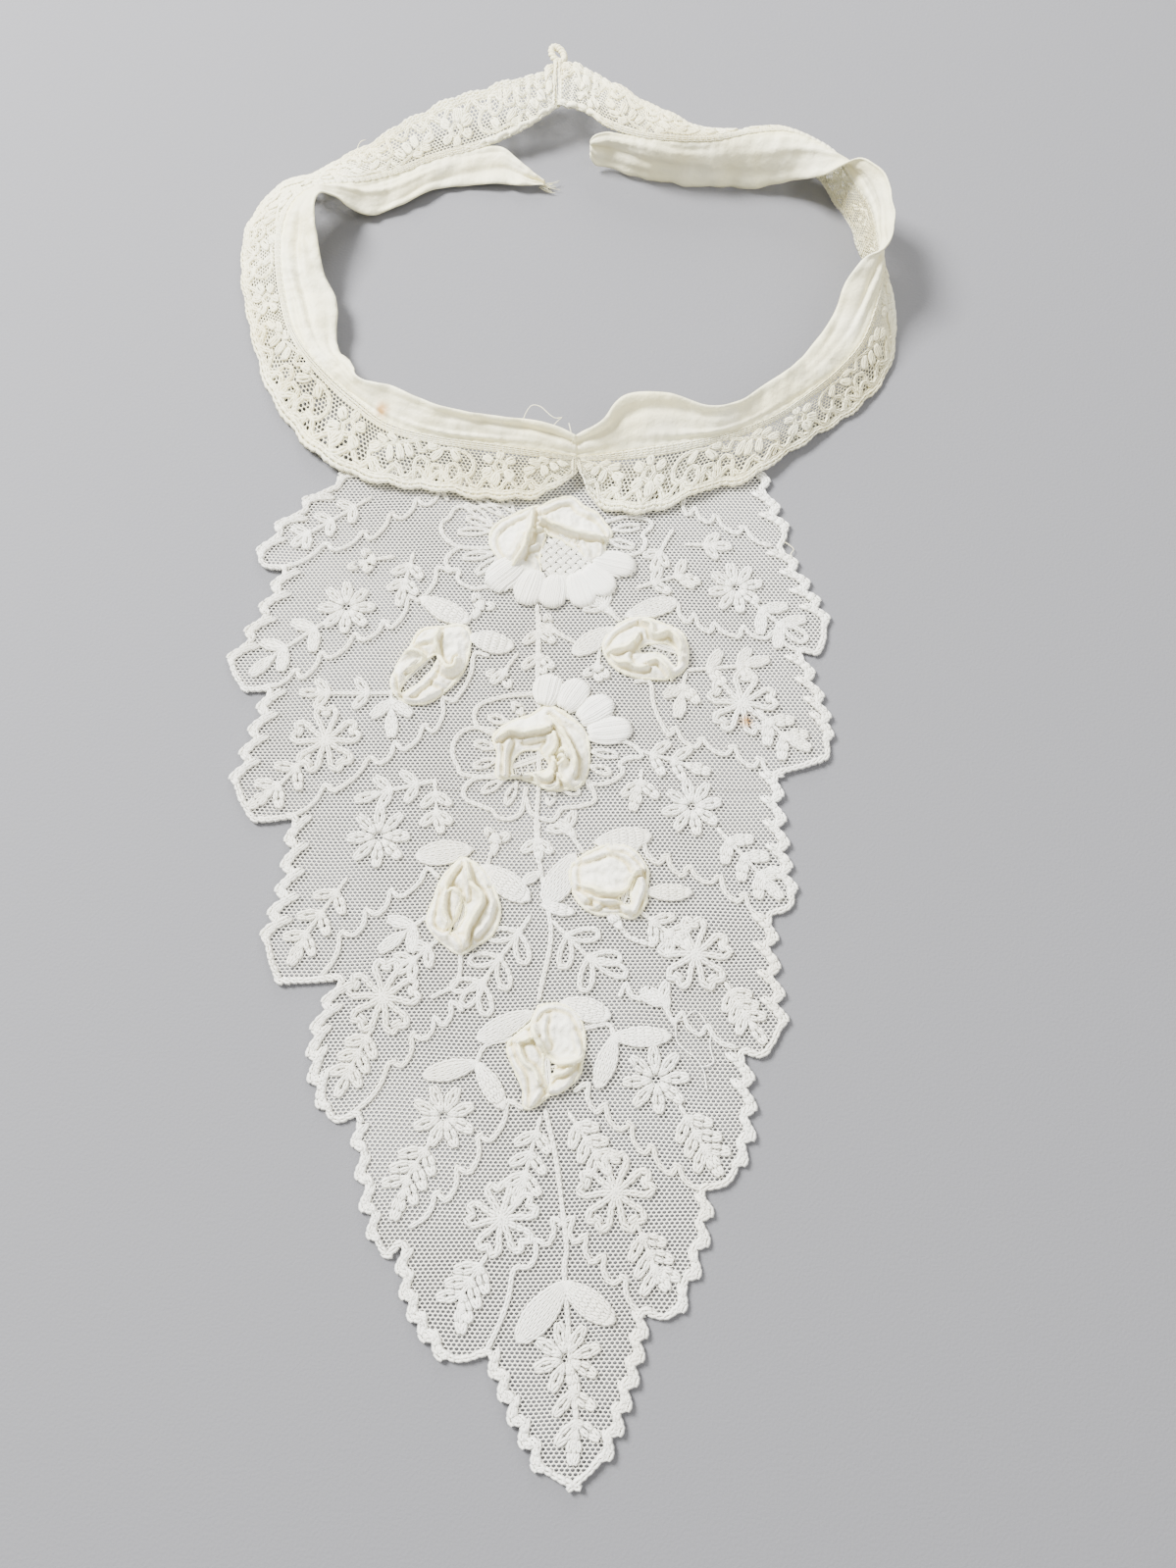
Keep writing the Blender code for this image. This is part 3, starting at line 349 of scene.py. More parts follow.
def net_hole(pitch, row, thread):
    """One hole: the sloping half of each of the six threads round it, from its ridge to its foot."""
    side, high, low = pitch / 2, 2 / 3 * row, 1 / 3 * row
    corners = [(0, high), (side, low), (side, -low), (0, -high), (-side, -low), (-side, low)]
    points = [(x, y, thread) for x, y in corners]
    points += [(x * NET_HOLE, y * NET_HOLE * HOLE_FLATTEN, -THREAD_FOOT * thread) for x, y in corners]
    faces = [(i, 6 + i, 6 + (i + 1) % 6, (i + 1) % 6) for i in range(6)]
    return make_object("net_hole", points, faces)


def staggered(low, high, pitch, row):
    """Middles of the net's holes over a box: every second row is half a hole along."""
    rows = np.arange(math.floor(low[1] / row), math.ceil(high[1] / row) + 1)
    columns = np.arange(math.floor(low[0] / pitch), math.ceil(high[0] / pitch) + 1)
    return np.array([((c + 0.5 * (r % 2)) * pitch, r * row) for r in rows for c in columns])


def make_net(name, middles, pitch, row, thread, finish, change):
    """A piece of net with its holes at these middles, moved to where it lies."""
    source = make_object(name, np.pad(middles, ((0, 0), (0, 1))), [])
    hole = net_hole(pitch, row, thread)
    weld = WELD * MILLIMETRE
    obj = grown(name, source, net_ground, [hole], Hole=hole, Weld=weld, Finish=finish.material)
    reshape(obj, change)
    obj.data.shade_smooth()
    return obj


def reshape(obj, change):
    """Moves every point of an object: change takes and gives arrays of points in millimetres."""
    points = np.empty(len(obj.data.vertices) * 3)
    obj.data.vertices.foreach_get("co", points)
    moved = change(points.reshape(-1, 3) / MILLIMETRE) * MILLIMETRE
    obj.data.vertices.foreach_set("co", moved.ravel())
    obj.data.update()


def settled(points):
    """The net's slack pulls its holes a little out of line, and the cloth lies in low waves."""
    x, y, z = points.T
    pulled_x = x + SLACK * wavy(y, x, SLACK_ACROSS) + FINE_SLACK * np.sin(y / 2.9 + x / 5.1)
    pulled_y = y + SLACK * wavy(x, y, SLACK_ALONG) + FINE_SLACK * np.sin(x / 3.3 - y / 4.7)
    return np.stack((pulled_x, pulled_y, z + lie(x, y)), axis=1)


def shaded(finish, factor, shades, start=0.35, end=0.65):
    """A colour that runs from one shade to the other as the factor runs from start to end."""
    ramp = finish.tree.nodes.new("ShaderNodeValToRGB")
    for element, position, shade in zip(ramp.color_ramp.elements, (start, end), shades):
        element.position = position
        element.color = (*shade, 1.0)
    finish.tree.links.new(factor, ramp.inputs["Fac"])
    return ramp.outputs["Color"]


def mixed(finish, factor, first, second):
    """One colour, from a node, with another laid over it where the factor is high."""
    mix = finish.tree.nodes.new("ShaderNodeMix")
    mix.data_type = "RGBA"
    under, over = (socket for socket in mix.inputs if socket.type == "RGBA")
    finish.tree.links.new(factor, mix.inputs["Factor"])
    finish.tree.links.new(first, under)
    if isinstance(second, tuple):
        over.default_value = (*second, 1.0)
    else:
        finish.tree.links.new(second, over)
    return next(socket for socket in mix.outputs if socket.type == "RGBA")


def reckoned(finish, operation, first, second):
    """A sum on two numbers or outputs."""
    return add_node(finish.tree, "ShaderNodeMath", {0: first, 1: second}, operation=operation)[0]


def stained(finish, colour, middle, reach):
    """A small brown stain over a colour, round a point in millimetres."""
    joined = {0: finish.place, 1: Vector(middle) * MILLIMETRE}
    away = add_node(finish.tree, "ShaderNodeVectorMath", joined, operation="DISTANCE")["Value"]
    share = reckoned(finish, "DIVIDE", away, reach * MILLIMETRE)
    inside = reckoned(finish, "MAXIMUM", reckoned(finish, "SUBTRACT", 1, share), 0)
    return mixed(finish, reckoned(finish, "MULTIPLY", inside, STAIN_STRENGTH), colour, STAIN)


def colour_with(finish, colour):
    """Joins a colour to the finish."""
    finish.tree.links.new(colour, finish.shader["Base Color"])


left_edge, left_teeth = side_outline(TOP_LEFT, LEFT_LOBES, -1)
right_edge, right_teeth = side_outline(TOP_RIGHT, RIGHT_LOBES, 1)
bib_edge = np.array(left_edge + right_edge[-2::-1])
closed_edge = np.vstack((bib_edge, bib_edge[:1]))

net_cotton = new_finish("net_cotton", roughness=0.9, sheen=0.25)
thread_colour = shaded(net_cotton, noise(net_cotton, per_metre=24), NET_SHADES)
colour_with(net_cotton, stained(net_cotton, thread_colour, STAINED_PLACE, STAINED_REACH))
roughen(net_cotton, noise(net_cotton, per_metre=4200), depth=0.00005, strength=0.5)

net_ground = net_ground_tree()
net_middles = staggered(bib_edge.min(0), bib_edge.max(0), NET_PITCH, NET_ROW)
net_middles = net_middles[inside(net_middles, bib_edge)]
halving = HALVING_LINE // NET_ROW * NET_ROW + NET_ROW / 2
net_middles = net_middles[distance(net_middles, closed_edge) > NET_INSET]
net_middles = net_middles[~seated(net_middles, ROSE_SEATS) & (net_middles[:, 1] < COLLAR_COVERS)]
bib_net = []
for half_name, in_half in (("upper", net_middles[:, 1] > halving), ("lower", net_middles[:, 1] < halving)):
    half_middles = net_middles[in_half]
    piece = make_net(
        f"bib_net_{half_name}", half_middles, NET_PITCH, NET_ROW, NET_THREAD, net_cotton, settled
    )
    bib_net.append(piece)
    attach(piece, "root")


# The bib's edge is bound with a thick soft cotton in chain stitch: a hook draws it up through the net
# in a row of loops, each held by the next. Every tooth is a slanting stroke, with a padding row inside.
STITCH_LENGTH = 2.15
STITCH_PITCH = 1.55
STITCH_WIDTH = 0.68
STITCH_THREAD = 0.34
STITCH_STATIONS = 7
STITCH_LIFT = 0.36
WIDE_LIFT = 0.14
UNEVENNESS = 0.09
EDGE_CORD = 1.25
EDGE_INSET = 0.75
STROKE_BACK = 5.0
STROKE_IN = 3.4
STROKE_WIDTH, PADDING_WIDTH = 1.35, 0.95
SHORT_STROKE = 0.55
SHORT_STROKES_BELOW = -158
WORK_SHADES = ((0.87, 0.84, 0.73), (0.94, 0.93, 0.86))


def chain_stitch_tree():
    """Sets stitches along every curve, turned to run with it and as wide as its radius says."""
    tree, given, add = node_tree(
        "chain_stitch", Stitch="Object", Pitch="Float", Unevenness="Float", Seed="Int", Finish="Material"
    )
    stitch = add("GeometryNodeObjectInfo", {"Object": given["Stitch"]})
    along = {"Curve": given["Geometry"], "Length": given["Pitch"]}
    steps = add("GeometryNodeCurveToPoints", along, mode="LENGTH")
    turned = add("FunctionNodeAlignRotationToVector", {"Vector": steps["Tangent"]}, axis="X", pivot_axis="Z")
    least = add("ShaderNodeMath", {0: 1.0, 1: given["Unevenness"]}, operation="SUBTRACT")
    most = add("ShaderNodeMath", {0: 1.0, 1: given["Unevenness"]}, operation="ADD")
    varied = add("FunctionNodeRandomValue", {2: least[0], 3: most[0], "Seed": given["Seed"]})
    wide = add("ShaderNodeMath", {0: add("GeometryNodeInputRadius")[0], 1: varied[1]}, operation="MULTIPLY")
    size = add("ShaderNodeCombineXYZ", {"X": varied[1], "Y": wide[0], "Z": wide[0]})
    placed = add(
        "GeometryNodeInstanceOnPoints",
        {"Points": steps["Points"], "Instance": stitch["Geometry"], "Rotation": turned[0], "Scale": size[0]},
    )
    real = add("GeometryNodeRealizeInstances", {"Geometry": placed["Instances"]})
    return finished_tree(tree, real["Geometry"], given["Finish"])


def one_stitch():
    """One loop of the chain: a thread bent round to a long drop, narrow where the next one holds it."""
    points, faces = [], []
    for i in range(STITCH_STATIONS):
        turn = 2 * math.pi * (i + 0.5) / STITCH_STATIONS
        x, y = math.cos(turn), math.sin(turn) * (0.86 + 0.3 * math.cos(turn))
        middle = np.array((STITCH_LENGTH / 2 * x, STITCH_WIDTH / 2 * y, 0.06 * math.cos(turn)))
        outward = np.array((0.35 * math.cos(turn), math.sin(turn), 0))
        outward /= np.linalg.norm(outward)
        for side, up in ((1.0, -0.55), (0.0, 1.0), (-1.0, -0.55)):
            points.append(middle + STITCH_THREAD * (side * outward + np.array((0, 0, up))))
    for i in range(STITCH_STATIONS):
        after = (i + 1) % STITCH_STATIONS
        for j in range(3):
            k = (j + 1) % 3
            faces.append((i * 3 + j, i * 3 + k, after * 3 + k, after * 3 + j))
    return make_object("one_stitch", points, faces)


def smooth_line(points, step=0.8):
    """A smooth line through the points, in short steps to sew along."""
    p = np.array(points, float)
    p = np.vstack((2 * p[0] - p[1], p, 2 * p[-1] - p[-2]))
    line = []
    for a, b, c, d in zip(p, p[1:], p[2:], p[3:]):
        count = max(2, int(np.linalg.norm(c - b) / step))
        for t in np.arange(count) / count:
            bend = (2 * a - 5 * b + 4 * c - d) * t**2 + (3 * b - a - 3 * c + d) * t**3
            line.append(0.5 * (2 * b + (c - a) * t + bend))
    return np.array(line + [p[-2]])


def sewn(name, rows, finish, seed, change, lift=STITCH_LIFT):
    """Sews every row, (line, width), in chain stitch, and moves the work to where it lies."""
    curve = bpy.data.curves.new(name, "CURVE")
    curve.dimensions = "3D"
    for line, width in rows:
        spline = curve.splines.new("POLY")
        spline.points.add(len(line) - 1)
        for place, point in zip(spline.points, line):
            height = lift + (point[2] if len(point) > 2 else 0.0) + WIDE_LIFT * (width - 1)
            place.co = (point[0] * MILLIMETRE, point[1] * MILLIMETRE, height * MILLIMETRE, 1)
            place.radius = width
    stitch = one_stitch()
    obj = grown(
        name, new_object(name, curve), chain_stitch, [stitch], Stitch=stitch,
        Pitch=STITCH_PITCH * MILLIMETRE, Unevenness=UNEVENNESS, Seed=seed, Finish=finish.material,
    )
    reshape(obj, change)
    obj.data.shade_smooth()
    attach(obj, "root")
    return obj


def one_long(runs):
    """The same runs, each one long."""
    return runs / np.linalg.norm(runs, axis=-1, keepdims=True)


def tooth_strokes(teeth):
    """The two rows of each tooth: a slanting stroke out to its tip, and its padding inside."""
    rows = []
    for tip, along, inward in teeth:
        tip = tip - 0.25 * inward
        reach = SHORT_STROKE if tip[1] < SHORT_STROKES_BELOW else 1.0
        start = tip + reach * (STROKE_IN * inward - STROKE_BACK * along)
        middle = (start + tip) / 2 - 0.5 * reach * inward
        stroke = [start, middle, tip, tip + 0.8 * along + 1.0 * inward]
        padding = [start + 0.7 * inward, middle + 0.9 * inward, tip + 1.2 * inward]
        rows += [(smooth_line(stroke), STROKE_WIDTH), (smooth_line(padding), PADDING_WIDTH)]
    return rows


chain_stitch = chain_stitch_tree()
work_cotton = new_finish("work_cotton", roughness=0.8, sheen=0.3)
white_cotton = shaded(work_cotton, noise(work_cotton, per_metre=30), WORK_SHADES)
colour_with(work_cotton, stained(work_cotton, white_cotton, STAINED_PLACE, STAINED_REACH))
roughen(work_cotton, noise(work_cotton, per_metre=3000, detail=3.0), depth=0.00014, strength=0.7)

edge_rows = []
for side_edge, teeth, turn in ((left_edge, left_teeth, 1), (right_edge, right_teeth, -1)):
    run = one_long(np.gradient(np.array(side_edge), axis=0))
    cord = np.array(side_edge) + EDGE_INSET * turn * np.stack((-run[:, 1], run[:, 0]), axis=1)
    edge_rows.append((cord, EDGE_CORD))
    edge_rows += tooth_strokes(teeth)
edge_work = sewn("bib_edge_cord", edge_rows, work_cotton, seed=3, change=settled)


# The veins are sewn lines that run from each notch in to the middle of the bib. Each is a row of saw
# teeth: a long stroke that rises to a rounded top, and a short drop.
VEINS = (
    ((-70.8, -27.6), (-58.6, -22.8), (-50, -19.9), (-42.8, -14.5), (-37.1, -10.7), (-31.5, -8.5)),
    ((-71.9, -58.3), (-64.3, -56.3), (-58.1, -51.3), (-50.5, -47), (-44.1, -44), (-37.5, -36.8),
     (-30.9, -28.7)),
    ((-64.1, -89.9), (-55.2, -84.2), (-45.2, -77.8), (-39.7, -74.5), (-33, -69.9), (-27.9, -62),
     (-20.7, -50.3)),
    ((-54.9, -125.8), (-49, -117.8), (-44, -113.1), (-38.6, -109.1), (-30.8, -104.1)),
    ((-45.9, -155.6), (-36.6, -146.4), (-32.5, -140.5), (-28.1, -137.4), (-24.4, -133.6)),
    ((-32.9, -178.6), (-26.5, -173.7), (-22.1, -168), (-17.5, -161.3), (-11.3, -154.2)),
    ((-17.3, -202.4), (-8.8, -186.4), (-5.1, -182), (-1.9, -177.8)),
    ((47.4, -21.5), (40.5, -18.3), (33.8, -15.6), (28.8, -13.4), (25.4, -9.6)),
    ((54.5, -49.8), (46.9, -46), (40.1, -45.5), (33, -44.5), (27.6, -41.9), (23.4, -38.8)),
    ((47.7, -80.7), (41.9, -78.3), (35.8, -75.4), (29, -73.5), (22.8, -70.8), (15.8, -57.3)),
    ((42.3, -113.1), (37.3, -110), (31.7, -105.9), (25.3, -104.1), (20, -101.6), (14.4, -98.4)),
    ((34.9, -141.8), (28.1, -139.3), (22.4, -136.3), (19, -133.1), (14.9, -131.9), (10.6, -130.6)),
    ((26.5, -171.2), (21.1, -168.4), (15.6, -164.5), (11, -159.5), (5.8, -156), (1.8, -151.1)),
    ((14.6, -195.6), (9, -189.8), (4.7, -185.5), (1, -181.7), (-1.9, -177.8)),
)
SAW_TOOTH = ((0.0, 0.0), (0.3, -0.1), (0.6, 0.25), (0.85, 1.0), (0.95, 0.9))
SAW_RISE = 2.1
STEMS = (
    ((-8.7, -38.1), (-8, -60), (-8, -94.3), (-7, -102.5), (-5.4, -110.9), (-4.9, -117.8), (-7.1, -131)),
    ((-5.4, -156.2), (-3.2, -165.7), (-1.9, -176.1), (-0.8, -183), (-1, -188.7), (0.9, -212.2)),
    ((0.9, -212.2), (0.9, -219)),
    ((-12.5, -140.2), (-18.2, -141.5), (-20.5, -145.2)),
    ((3.0, -138.2), (8.0, -137.6), (9.4, -140.6)),
    ((-24.8, -120), (-25.5, -128), (-30, -131)),
    ((9.5, -113.5), (12.5, -118), (17.5, -120)),
)
LINE_WIDTH = 0.92


def saw_line(joints):
    """A vein through its joints, with one tooth from each to the next."""
    points = []
    for a, b in zip(joints, joints[1:]):
        run = np.subtract(b, a)
        up = left_of(run) * math.copysign(1, run[0])
        points += [np.array(a) + share * run + SAW_RISE * rise * up for share, rise in SAW_TOOTH]
    return smooth_line(points + [joints[-1]], 0.7)


line_rows = [(saw_line(vein), LINE_WIDTH) for vein in VEINS]
line_rows += [(smooth_line(stem), LINE_WIDTH) for stem in STEMS]
line_work = sewn("bib_veins", line_rows, work_cotton, seed=5, change=settled)


# Leafy sprigs stand in the bib's lobes and between its veins. Every leaf is sewn round both sides,
# a long one has a third row inside, and the longest are left open.
Sprig = namedtuple("Sprig", "start last tip pairs leaf")
SPRIGS = (
    Sprig((-51.1, -9), (-64.9, -18.4), (-68.6, -21.9), 3, 4.5),
    Sprig((-58.1, -40.9), (-68.7, -48.7), (-75.9, -55.4), 2, 6.2),
    Sprig((-61.7, -76), (-68.2, -82.8), (-74, -88.1), 2, 5.6),
    Sprig((-51.1, -105.4), (-59, -117.3), (-62.5, -124), 3, 5.4),
    Sprig((-43.7, -138.6), (-47.5, -146.4), (-50.2, -152.3), 3, 4.9),
    Sprig((-30.2, -162.1), (-34.7, -169.5), (-37.3, -177.5), 3, 5.6),
    Sprig((-17.8, -185.1), (-22, -191.9), (-22.3, -198.8), 3, 5.4),
    Sprig((-0.2, -207.3), (0.9, -215.6), (0.5, -222.9), 2, 5.6),
    Sprig((42.9, -36.7), (49.5, -42.5), (56, -47.2), 2, 6.8),
    Sprig((44.2, -65.5), (49.1, -71), (55.1, -74.4), 2, 6.1),
    Sprig((33.9, -93.8), (42.6, -103.6), (46.9, -109.1), 3, 5.9),
    Sprig((34.1, -128.8), (37.9, -134.9), (42.2, -141), 3, 4.8),
    Sprig((23.9, -155.2), (28.3, -162.8), (31.4, -168.5), 3, 5.6),
    Sprig((13.9, -178.9), (17.4, -187.4), (19.9, -191.1), 3, 5.5),
    Sprig((-44.8, -24.9), (-48.7, -25.5), (-54.5, -27.6), 1, 3.9),
    Sprig((-39.4, -24.9), (-40.9, -31.4), (-42.3, -38.1), 2, 4.9),
    Sprig((-25.2, -41.9), (-22.9, -38.3), (-22.4, -36.7), 1, 3.9),
    Sprig((-43.2, -60.5), (-57.4, -60.5), (-64, -60), 2, 4.9),
    Sprig((-42.7, -60.5), (-42.6, -62.5), (-42.2, -71.4), 1, 6.2),
    Sprig((-13.4, -50.8), (-16.2, -54.9), (-19.1, -57.4), 1, 4.3),
    Sprig((-32.9, -82.3), (-42.1, -84.2), (-49.9, -86.4), 2, 5.1),
    Sprig((-32, -82.8), (-31.3, -89.5), (-29.7, -94.2), 2, 4.6),
    Sprig((-18.8, -101.3), (-17.5, -96.1), (-17.5, -94.7), 1, 3.7),
    Sprig((-32.6, -114.1), (-35.3, -115.9), (-42.6, -121.3), 1, 6.3),
    Sprig((-30.2, -119.1), (-35.4, -123.5), (-38.4, -126.2), 2, 4.5),
    Sprig((-10.1, -114.1), (-20.1, -128.4), (-24, -133.2), 3, 7.5),
    Sprig((-3.6, -115), (3.6, -123.1), (12, -126.6), 2, 8),
    Sprig((-7.5, -92.3), (-7.7, -95.7), (-7.4, -99.9), 1, 4.6),
    Sprig((2.2, -98), (-1, -93.3), (-2.9, -91.4), 1, 4.6),
    Sprig((15.7, -80.4), (15.6, -82.3), (13.7, -89), 1, 5.6),
    Sprig((15.7, -74.9), (23.2, -76.9), (31.5, -79.8), 2, 5.6),
    Sprig((24.3, -18.4), (21.3, -23.8), (19.5, -28.7), 1, 4.4),
    Sprig((28.7, -21.7), (32.6, -21.9), (38.5, -21.9), 1, 4.4),
    Sprig((16.2, -33), (25.1, -30.3), (30.3, -31.5), 2, 4.9),
    Sprig((10.3, -41.4), (7.4, -38.3), (5, -36.2), 1, 5.3),
    Sprig((1.1, -47.7), (-5.6, -44), (-8, -43), 1, 4.3),
    Sprig((-8.1, -40.9), (-8, -50.8), (-6.5, -55.2), 2, 4.9),
    Sprig((28.4, -54.4), (39.4, -53.3), (46.7, -51.8), 2, 5.7),
    Sprig((26.9, -55.9), (26.4, -58.4), (24.8, -66.2), 1, 5.7),
    Sprig((6.4, -49.2), (5.9, -53.9), (6.4, -57.4), 1, 3.8),
    Sprig((16.2, -113.2), (21.5, -117.3), (25.9, -120.4), 2, 5.4),
    Sprig((22, -136.7), (19.4, -132.3), (17.3, -130.1), 1, 4.4),
    Sprig((-6.9, -157.6), (-9.8, -168.2), (-11.9, -174.2), 3, 5.2),
    Sprig((0.2, -157), (5.1, -164.2), (7.9, -168.2), 3, 4.9),
)
LEAF_SPREAD = math.radians(50)
LEAF_HALF, LONG_HALF = 0.72, 0.936
LEAF_WIDTH, FILL_WIDTH, STALK_WIDTH, OPEN_WIDTH = 1.08, 0.95, 0.85, 1.0
SIDE_LEAF = 0.92
TIP_STITCH = 0.75
LONG_LEAF = 5.2
OPEN_LEAF = 6.6
OPEN_HALF = 1.35
LEAF_STEP = 0.6


def leaf_sides(base, tip, half_width):
    """The two rows of a narrow leaf, each round one side from its base to beside its tip."""
    base, tip = np.array(base), np.array(tip)
    run = tip - base
    length = np.linalg.norm(run)
    across = left_of(run) * half_width
    end = 1 - TIP_STITCH / length
    shape = ((0.08, 0.2), (0.4 * end, 0.85), (0.75 * end, 1.0), (end, 0.66))
    sides = ([base + run * along + across * side * off for along, off in shape] for side in (-1, 1))
    return [smooth_line(side, LEAF_STEP) for side in sides]


def open_leaf(base, tip, half_width):
    """The one row round a wide open leaf."""
    base, run = np.array(base), np.subtract(tip, base)
    across = left_of(run) * half_width
    shape = ((0.0, 0.05), (0.25, 0.7), (0.55, 1.0), (0.82, 0.85), (0.94, 0.35))
    shape += tuple((along, -off) for along, off in reversed(shape))
    return smooth_line([base + run * along + across * off for along, off in shape], LEAF_STEP)


def leaf_rows(base, tip):
    """One sewn leaf. A long one has a third row inside, and the longest are left open."""
    run = np.subtract(tip, base)
    length = np.linalg.norm(run)
    if length > OPEN_LEAF:
        return [(open_leaf(base, tip, OPEN_HALF), OPEN_WIDTH)]
    long = length > LONG_LEAF
    rows = [(line, LEAF_WIDTH) for line in leaf_sides(base, tip, LONG_HALF if long else LEAF_HALF)]
    if long:
        rows.append((smooth_line([base + 0.2 * run, base + 0.5 * run, base + 0.8 * run]), FILL_WIDTH))
    return rows


def way_out(angle):
    """One millimetre at an angle."""
    return np.array((math.cos(angle), math.sin(angle)))


def sprig_rows(sprig):
    """A stalk with its last leaf, and pairs of leaves beside it."""
    start, last, tip = (np.array(point) for point in sprig[:3])
    heading = math.atan2(*(last - start)[::-1])
    end_run = (tip - last) / np.linalg.norm(tip - last)
    base = tip - end_run * sprig.leaf
    rows = [(smooth_line([start, last, base]), STALK_WIDTH)] + leaf_rows(base, tip)
    for pair in range(sprig.pairs):
        share = (pair + 0.55) / (sprig.pairs - 0.45)
        root = start + (last - start) * share
        for side in (-1, 1):
            angle = heading + side * LEAF_SPREAD
            end = root + SIDE_LEAF * sprig.leaf * way_out(angle)
            rows += leaf_rows(root, end)
    return rows


all_sprigs = [row for sprig in SPRIGS for row in sprig_rows(sprig)]
sprig_work = sewn("bib_sprigs", all_sprigs, work_cotton, seed=7, change=settled)


# Daisies have eight narrow petals and blossoms five heart-shaped ones, each sewn round.
# Larger open petals, with loops inside them, are sewn round the first and the fourth rose.
Flower = namedtuple("Flower", "middle radius turn")
DAISIES = (
    Flower((-54.9, -38.3), 6.6, 0), Flower((39.2, -33.0), 6.4, 10), Flower((-44.2, -95.2), 7.0, 0),
    Flower((27.3, -88.2), 6.6, 12), Flower((-27.2, -156.6), 6.6, 20), Flower((18.4, -149.0), 7.0, 5),
    Flower((-0.6, -203.7), 6.8, 15),
)
BLOSSOMS = (
    Flower((-57.7, -71.9), 7.8, 90), Flower((40.0, -62.8), 7.6, 80), Flower((-41.7, -131.6), 7.8, 85),
    Flower((27.2, -121.9), 7.6, 90), Flower((-14.4, -177.2), 7.2, 100), Flower((9.3, -172.2), 7.7, 90),
)
DAISY_PETALS = 8
DAISY_FROM, DAISY_TO, DAISY_HALF = 0.26, 0.98, 0.76
HEART_PETALS = 5
LOOP_HALF = 0.85
PETAL_WIDTH, LOOP_WIDTH, DAISY_WIDTH, HEART_WIDTH = 0.95, 0.85, 1.15, 1.2
HEART = (
    (0.1, 0.03), (0.45, 0.16), (0.75, 0.3), (0.93, 0.27), (0.99, 0.14), (0.82, 0.0),
    (0.99, -0.14), (0.93, -0.27), (0.75, -0.3), (0.45, -0.16), (0.1, -0.03),
)
OPEN_PETALS = (
    ((-16.5, -10.5), (-21, -10.8), (-24.9, -11.9), (-27.4, -11.2), (-29.5, -11.9), (-30.4, -13.9),
     (-32.2, -15.5), (-32.5, -17.7), (-31.1, -20.4), (-28.4, -22.2), (-24.4, -22.5), (-20.1, -22.2)),
    ((-28.1, -22.5), (-30.2, -24.3), (-31.2, -26.3), (-30.4, -28.4), (-28.2, -28.6), (-28.4, -31),
     (-26.7, -32.4), (-24.3, -33.3), (-21.4, -32.9)),
    ((8.5, -15.2), (13.4, -14.1), (18.2, -14.9), (19.7, -16.6), (17.3, -18.9), (17.8, -20.6), (17.2, -22.9),
     (14.8, -24.3), (10.3, -24.6)),
    ((-9.6, -60.4), (-15.2, -60.9), (-21.4, -62.8), (-23.1, -65.8), (-22.2, -68.6), (-18.9, -70.3)),
    ((-19, -69.3), (-23.2, -68.8), (-26.5, -70.2), (-28.1, -73), (-28, -76), (-26.5, -79), (-25.8, -80.2),
     (-21.9, -80.6), (-18.1, -80.2)),
    ((-18, -80.7), (-22.6, -81.2), (-25.1, -83.9), (-24.4, -86.3), (-20.5, -88), (-18.2, -89),
     (-16.9, -90.6), (-14, -90.8), (-11.7, -89.3), (-11.1, -86.3), (-10.9, -84.3)),
    ((-10.5, -86.3), (-9.5, -89), (-7.6, -90.3), (-4.3, -90.9), (-2.4, -88.3), (1.1, -88), (4, -87.3),
     (5, -86.3), (4.3, -83.6), (3.4, -82.6), (6.6, -82.9), (9.8, -81.9), (11.5, -79.9), (10.8, -78.2),
     (12.5, -76.8), (14.8, -76.5)),
    ((5.3, -72), (11.5, -72.4), (14.8, -74.1), (15.8, -75.5)),
)
PETAL_LOOPS = (
    ((-20, -16.3), (-26.2, -14.5)), ((-20.5, -17.7), (-28.1, -18.3)), ((-19.8, -23.7), (-26.8, -25)),
    ((-18.4, -24.8), (-23.6, -29.2)), ((-20, -15.4), (-26.5, -10.8)), ((-17.6, -13.3), (-23.5, -8.9)),
    ((-14.6, -12.2), (-17.5, -8.6)), ((10, -17.6), (16.4, -16.9)), ((8.8, -20.6), (14.8, -22.3)),
    ((-12.1, -65.1), (-14.1, -62.7)), ((-15.4, -67.2), (-19.7, -66.2)), ((-18.2, -73.4), (-23.1, -72.7)),
    ((-18, -76.5), (-23, -78.2)), ((-16.4, -81.6), (-20.6, -84.3)), ((-13.2, -82.3), (-15, -87.3)),
    ((-4.7, -83.9), (-5.5, -87.3)), ((-2.8, -83.4), (1.4, -84.6)), ((4.3, -74.8), (10.2, -76)),
    ((4.2, -78.5), (8.6, -80.2)),
)


def spokes(flower, count):
    """The middle of a flower, and the way out along each of its petals."""
    for index in range(count):
        angle = math.radians(flower.turn) + 2 * math.pi * index / count
        yield np.array(flower.middle), way_out(angle)


flower_rows = [(smooth_line(petal), PETAL_WIDTH) for petal in OPEN_PETALS]
for root, tip in PETAL_LOOPS:
    flower_rows += [(line, LOOP_WIDTH) for line in leaf_sides(root, tip, LOOP_HALF)]
for flower in DAISIES:
    for middle, outward in spokes(flower, DAISY_PETALS):
        root, tip = (middle + share * flower.radius * outward for share in (DAISY_FROM, DAISY_TO))
        flower_rows += [(line, DAISY_WIDTH) for line in leaf_sides(root, tip, DAISY_HALF)]
for flower in BLOSSOMS:
    for middle, outward in spokes(flower, HEART_PETALS):
        across = left_of(outward)
        heart = [middle + flower.radius * (along * outward + off * across) for along, off in HEART]
        flower_rows.append((smooth_line(heart, 0.7), HEART_WIDTH))
flower_work = sewn("bib_flowers", flower_rows, work_cotton, seed=9, change=settled)
for piece in bib_net:
    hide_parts("bib")


